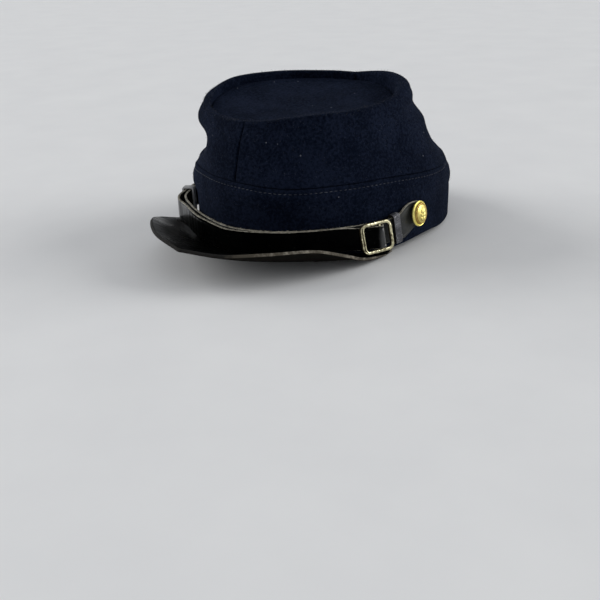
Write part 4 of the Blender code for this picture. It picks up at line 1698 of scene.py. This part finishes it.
    def fray(self, shape: Shape, points: list[StrapPoint], count: int) -> None:
        """Lets short fibres stand off a strap's upper edge.

        Args:
            shape: the strap's shape, which takes them.
            points: the strap's middle line.
            count: how many there are.
        """
        dice = random.Random(self.seed)
        for _ in range(count):
            point = points[dice.randrange(12, len(points) - 12)]
            foot = point.middle + point.across * (point.width / 2 - 0.0001) + HEAD_CENTRE
            tilt = Vector((dice.uniform(-1, 1), dice.uniform(-1, 1), 0.0)) * 0.9
            reach = (point.across + tilt).normalized() * dice.uniform(*self.fibre_length)
            radius = dice.uniform(*self.fibre_radius)
            made = add_rod(shape, foot + reach / 2, reach, 4, radius, self.fibre_tip)
            for face in {face for vert in made for face in vert.link_faces}:
                face.material_index = Leather.EDGE.value

    def finish(self, node: str, shape: Shape, finishes: Iterable[Finish]) -> None:
        """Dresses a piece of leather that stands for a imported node."""
        finish_piece(node + "_leather", shape, finishes, "black_leather", node)

    def build_straps(self) -> None:
        """Builds both straps."""
        run = self.run(self.inner)
        points = run + self.round_end(run[-1], Side.LEFT)[::-1]
        shape = Ribbon(points).shape()
        self.fray(shape, run, 380)
        self.finish("chin_strap_inner", shape, WORN_STRAP_LEATHER)
        run = self.lean(self.run(self.outer))
        points = self.round_end(run[0], Side.RIGHT) + run[:-1] + self.turned_end(run)
        shape = Ribbon(points).shape()
        front, back, along, _, _ = self.slide.axes()

        def polish(spot: Vector) -> float:
            """Rubbed bright at the far side of the head and over the slide's bar."""
            past = (spot - front).dot(along) / (back - front).length
            over_bar = hill((past - 0.70) / 0.22) if spot.x > 0 else 0.0
            return 1.6 * ease((-0.020 - spot.x) / 0.035) + 2.8 * over_bar

        mark_points(shape, "polish", polish)
        self.fray(shape, run, 480)
        self.finish("chin_strap_outer", shape, STRAP_LEATHER)

    def build_keeper(
        self,
        name: str,
        finishes: tuple[Finish, ...],
        angle: float,
        length: float,
        inside: Curve,
        outside: Curve,
    ) -> None:
        """Builds a leather loop round the straps.

        Args:
            name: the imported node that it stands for.
            finishes: its leather.
            angle: where it is.
            length: how much of the straps it covers.
            inside: the strap that it lies behind.
            outside: the strap that it lies over.
        """
        low, low_z, low_width = inside.at(angle)
        high, high_z, high_width = outside.at(angle)
        reach = self.wall / 2 + self.keeper_clearance + self.keeper_wall / 2
        half_depth = (high - low) / 2 + reach
        half_height = max(low_width, high_width) / 2 + self.keeper_clearance + self.keeper_wall / 2
        middle = self.form.off_wall(angle, (low + high) / 2, (low_z + high_z) / 2)
        before, after = inside.at(angle - 1.5), inside.at(angle + 1.5)
        start = self.form.off_wall(angle - 1.5, before[0], before[1])
        along = (self.form.off_wall(angle + 1.5, after[0], after[1]) - start).normalized()
        up = (UP - along * along.dot(UP)).normalized()
        out = along.cross(up)
        outline = round_corners(half_depth, half_height, self.keeper_corner, 6, 0.0012)
        points = [StrapPoint(middle + out * a + up * b, -along, length) for a, b in outline]
        shape = Ribbon(
            points, self.keeper_wall, press_inset=0.0009, press_depth=0.00008, loop=True
        ).shape()

        def dye(spot: Vector) -> float:
            """The left keeper's front edge is dyed, the other edges are bare."""
            return 1.2 if (spot - middle).dot(along) < 0 and angle > 0 else -0.2

        mark_points(shape, "dye", dye)
        self.finish(name, shape, finishes)

    def build(self) -> None:
        """Builds the straps and the keepers."""
        self.build_straps()
        inner, outer = self.inner, self.outer
        self.build_keeper("keeper_left", KEEPER_LEATHER, 67.9, 0.0054, inner, inner)
        # The right keeper's pale leather is a painted highlight.
        self.build_keeper("keeper_right", KEEPER_LEATHER_PAINTED_LIGHT, -56.0, 0.0050, inner, outer)


def round_corners(
    half_a: float, half_b: float, corner: float, corner_steps: int, spacing: float
) -> list[Pair]:
    """The outline of a rectangle with round corners.

    Args:
        half_a: half its size one way.
        half_b: half its size the other way.
        corner: the radius of its corners.
        corner_steps: steps round each corner.
        spacing: about how far apart the points of its sides are.

    Returns:
        Its points, anticlockwise from its right side.
    """
    arcs = []
    for quarter in range(4):
        sign_a, sign_b = ((1, 1), (-1, 1), (-1, -1), (1, -1))[quarter]
        for step in range(corner_steps + 1):
            turn = math.radians(90 * (quarter + step / corner_steps))
            a = sign_a * (half_a - corner) + corner * math.cos(turn)
            arcs.append(Vector((a, sign_b * (half_b - corner) + corner * math.sin(turn))))
    outline = []
    for here, ahead in zip(arcs, arcs[1:] + arcs[:1]):
        steps = max(round((ahead - here).length / spacing), 1)
        outline += [tuple(here.lerp(ahead, step / steps)) for step in range(steps)]
    return outline


# The brass


@dataclass
class SlideBuckle:
    """The slide: a cast frame with a bar across it."""

    form: CapShape
    front: Triple = (51.9, 0.0093, 0.0166)
    back: Triple = (64.2, 0.0064, 0.0164)
    lean: float = 6.0
    rack: float = 7.0
    height: float = 0.0184
    corner: float = 0.0036
    half_face: float = 0.00115
    half_depth: float = 0.00125
    groove: float = 0.0010
    bar_share: float = 0.62
    bar_radius: float = 0.0011
    squareness: float = 0.72
    around: int = 32
    spacing: float = 0.0007

    def axes(self) -> tuple[Vector, Vector, Vector, Vector, Vector]:
        """The middles of the front and back bars, and the directions along, up and out."""
        front, back = self.form.off_wall(*self.front), self.form.off_wall(*self.back)
        along = (back - front).normalized()
        upright = (UP - along * along.dot(UP)).normalized()
        leaning = Matrix.Rotation(math.radians(-self.lean), 3, along) @ upright
        up = (leaning - along * math.tan(math.radians(self.rack))).normalized()
        return front, back, along, up, along.cross(up).normalized()

    def build(self) -> None:
        """Builds the slide."""
        front, back, along, up, out = self.axes()
        middle = front.lerp(back, 0.5)
        half_length, half_height = (back - front).length / 2, self.height / 2
        outline = round_corners(half_length, half_height, self.corner, 10, self.spacing)
        count = len(outline)

        def squared(value: float) -> float:
            """A sine or cosine made fuller, for a squarer section."""
            return math.copysign(abs(value) ** self.squareness, value)

        def place(column: int, row: int) -> Vector:
            """Round the frame's section at each point of its outline."""
            a, b = outline[column % count]
            before, after = outline[(column - 1) % count], outline[(column + 1) % count]
            aside = Vector((after[1] - before[1], before[0] - after[0])).normalized()
            turn = math.tau * (row % self.around) / self.around
            in_front = ease((-aside.x - 0.5) / 0.4)
            across = squared(math.cos(turn))
            face = across * self.half_face * (1 + 0.35 * in_front)
            depth = squared(math.sin(turn)) * self.half_depth
            if depth > 0:
                depth -= self.groove * in_front * hill((across - 0.1) / 0.45)
            point = middle + along * (a + aside.x * face) + up * (b + aside.y * face) + out * depth
            uneven = 0.00010 * noise.noise(point * 420.0) + 0.00005 * noise.noise(point * 1300.0)
            return point + (along * aside.x + up * aside.y) * uneven + out * uneven

        def flat(column: int, row: int) -> Pair:
            """Along the frame and round it."""
            return self.spacing * column, 0.0003 * row

        def rubbed(spot: Vector) -> float:
            """Bright where it stands proud."""
            proud = (spot - middle).dot(out) / self.half_depth
            return 0.02 + 0.95 * ease((proud - 0.1) / 0.8)

        shape = lay_patch(count, self.around, place, flat, closed=True)
        bar = front.lerp(back, self.bar_share) + HEAD_CENTRE
        add_rod(shape, bar, up * self.height, 20, self.bar_radius, self.bar_radius)
        bmesh.ops.recalc_face_normals(shape, faces=shape.faces)
        mark_points(shape, "rubbed", rubbed)
        finish_piece("slide_brass", shape, (SLIDE_BRASS,), "buckle_brass", "buckle")


@dataclass
class SideButton:
    """A domed button with a turned rim, a ring of beads and a leaf spray."""

    form: CapShape
    side: Side
    angle: float = 79.3
    z: float = 0.0230
    radius: float = 0.0085
    rim: float = 0.0008
    edge: float = 0.0012
    dome: float = 0.0030
    stand_off: float = 0.0033
    turn: float = 6.5
    tilt: float = 7.0
    shank: float = 0.0018
    shank_end: float = 0.0058
    relief: float = 0.00050
    beads: int = 44
    columns: int = 176
    dome_rows: int = 46
    # The height of each leaf's foot, its lean in degrees and its length
    spray = (
        (-0.50, -62.0, 0.44),
        (-0.50, 62.0, 0.44),
        (-0.26, -48.0, 0.50),
        (-0.26, 48.0, 0.50),
        (0.02, -34.0, 0.48),
        (0.02, 34.0, 0.48),
        (0.20, 0.0, 0.46),
    )

    def leaf(self, x: float, y: float, foot: float, lean: float, length: float) -> float:
        """The height of one leaf of the spray.

        Args:
            x: where to look, across the button.
            y: where to look, up the button.
            foot: how far up the leaf starts.
            lean: how far it leans from upright, in degrees.
            length: how long it is.

        Returns:
            A height from 0 to 1.
        """
        a = math.radians(lean)
        up = y - foot
        along = (x * math.sin(a) + up * math.cos(a)) / length
        across = (x * math.cos(a) - up * math.sin(a)) / length
        if not 0 < along < 1:
            return 0.0
        half = 0.30 * math.sin(math.pi * along**0.8)
        if abs(across) >= half:
            return 0.0
        rib = 1 - 0.55 * math.exp(-((across / 0.045) ** 2))
        return rib * math.sqrt(1 - (across / half) ** 2)

    def pattern(self, x: float, y: float) -> float:
        """The height of the relief, from 0 to 1, at a place measured in radii of the dome."""
        height = 0.0
        for foot, lean, length in self.spray:
            height = max(height, self.leaf(x, y, foot, lean, length))
        if -0.72 < y < 0.28:
            height = max(height, 0.8 * hill(x / 0.05))
        far = math.hypot(x, y)
        bead = 0.5 + 0.5 * math.cos(self.beads * math.atan2(y, x))
        ring = 0.85 * hill((far - 0.88) / 0.065) * bead
        return max(height, ring, 0.5 * hill((far - 0.79) / 0.022))

    def build(self) -> None:
        """Builds the button."""
        dome_radius = self.radius - self.rim
        back = [
            (dome_radius + self.rim * 0.15, self.edge + self.rim * 0.55),
            (dome_radius + self.rim * 0.45, self.edge + self.rim * 0.85),
            (dome_radius + self.rim * 0.80, self.edge + self.rim * 0.60),
            (self.radius, self.edge),
            (self.radius, self.edge * 0.55),
            (self.radius - self.rim * 0.5, self.edge * 0.15),
            (self.radius - self.rim * 1.4, 0.0),
            (self.shank * 1.5, -0.0001),
            (self.shank, -0.0006),
            (self.shank, -self.shank_end),
            (0.0, -self.shank_end),
        ]
        last = self.dome_rows + len(back)
        foot, wall_out = self.form.wall(self.side.value * self.angle)
        level = Matrix.Rotation(math.radians(self.side.value * self.turn), 3, UP) @ wall_out
        seat = foot + UP * self.z + level * self.stand_off
        right = UP.cross(level).normalized()
        outward = Matrix.Rotation(math.radians(-self.tilt), 3, right) @ level
        up = outward.cross(right).normalized()

        def local(column: int, row: int) -> Triple:
            """Across, up and out of the button's seat."""
            turn = math.tau * column / self.columns
            if row <= self.dome_rows:
                share = row / self.dome_rows
                across = dome_radius * math.sin(math.pi / 2 * share**0.85)
                rise = self.edge + self.dome * math.cos(math.pi / 2 * share**0.85)
                x, y = across * math.cos(turn) / dome_radius, across * math.sin(turn) / dome_radius
                rise += self.relief * self.pattern(x, y)
            else:
                across, rise = back[row - self.dome_rows - 1]
            return across * math.cos(turn), across * math.sin(turn), rise

        def place(column: int, row: int) -> Vector:
            """On the strap, facing out."""
            x, y, rise = local(column, row)
            return seat + right * x + up * y + outward * rise

        def flat(column: int, row: int) -> Pair:
            """The face seen from the front."""
            x, y, _ = local(column, row)
            return x, y

        def rubbed(spot: Vector) -> float:
            """Bright on the relief and its ground, and dark along the foot of the relief."""
            away = spot - seat
            x, y = away.dot(right) / dome_radius, away.dot(up) / dome_radius
            on_face = away.dot(outward) > self.edge
            raised = self.pattern(x, y) if on_face and math.hypot(x, y) < 0.97 else 0.9
            return 0.26 + 0.62 * raised - 1.3 * hill((raised - 0.30) / 0.30)

        shape = lay_patch(self.columns, last, place, flat, closed=True)
        bmesh.ops.recalc_face_normals(shape, faces=shape.faces)
        mark_points(shape, "rubbed", rubbed)
        name = "button_" + self.side.name.lower()
        finish_piece(name + "_gilt", shape, (BUTTON_GILT,), "button_brass", name)


# The studio


@dataclass
class Studio:
    """The camera at the photograph's angle, a pale floor and soft lights."""

    lens: float = 51.0
    eye: Triple = (0.34092, -0.47362, 0.19307)
    right: Triple = (0.81305, 0.58133, -0.03179)
    up: Triple = (-0.20413, 0.33578, 0.91956)
    back: Triple = (0.54524, -0.74115, 0.39167)
    floor_size: float = 30.0

    def place_camera(self) -> None:
        """Puts the camera where the photograph was taken from."""
        camera = bpy.data.cameras.new("camera")
        camera.lens = self.lens
        camera.sensor_width = 36.0
        camera.clip_start = 0.01
        eye = put_in_scene("camera", camera)
        turn = Matrix((self.right, self.up, self.back)).transposed().to_4x4()
        eye.matrix_world = Matrix.Translation(self.eye) @ turn
        bpy.context.scene.camera = eye

    def lay_floor(self) -> None:
        """Lays the floor that the cap rests on."""
        shape = bmesh.new()
        bmesh.ops.create_grid(shape, x_segments=1, y_segments=1, size=self.floor_size / 2)
        floor = put_in_scene("floor", make_mesh("floor", shape, (PaleFloor("pale floor"),)))

    def add_sun(self, name: str, direction: Triple, strength: float, spread: float) -> None:
        """Adds a broad, even light.

        Args:
            name: what it is called.
            direction: where it comes from.
            strength: how bright it is.
            spread: how wide it is, in degrees.
        """
        light = bpy.data.lights.new(name, "SUN")
        light.energy = strength
        light.angle = math.radians(spread)
        lamp = put_in_scene(name, light)
        lamp.rotation_euler = Vector(direction).to_track_quat("Z", "Y").to_euler()

    def light_up(self) -> None:
        """Lights the cap from above, from both sides and a little all round."""
        self.add_sun("left sky", (-0.88, -0.20, 0.34), 1.7, 44.0)
        self.add_sun("right sky", (0.66, 0.62, 0.36), 1.7, 44.0)
        world = bpy.data.worlds.new("studio")
        world.use_nodes = True
        sky = {"Color": (0.92, 0.95, 1.0, 1.0), "Strength": 0.42}
        Wiring(world.node_tree).fill(world.node_tree.nodes["Background"].inputs, sky)
        bpy.context.scene.world = world
        bpy.context.scene.view_settings.view_transform = "Standard"

    def build(self) -> None:
        """Builds the studio."""
        self.place_camera()
        self.lay_floor()
        self.light_up()


def main() -> None:
    """Builds the cap and the studio."""
    logging.basicConfig(level=logging.INFO, format="%(name)s: %(message)s")
    form = CapShape()
    band, crown, slide = Band(form), Crown(form), SlideBuckle(form)
    pieces = (
        band,
        SeamStitching(band),
        crown,
        LooseFibres(band, crown),
        Visor(form),
        ChinStrap(form, slide),
        slide,
        SideButton(form, Side.LEFT),
        SideButton(form, Side.RIGHT),
        Studio(),
    )
    for piece in pieces:
        LOG.info("building %s", type(piece).__name__)
        piece.build()


if __name__ == "__main__":
    main()
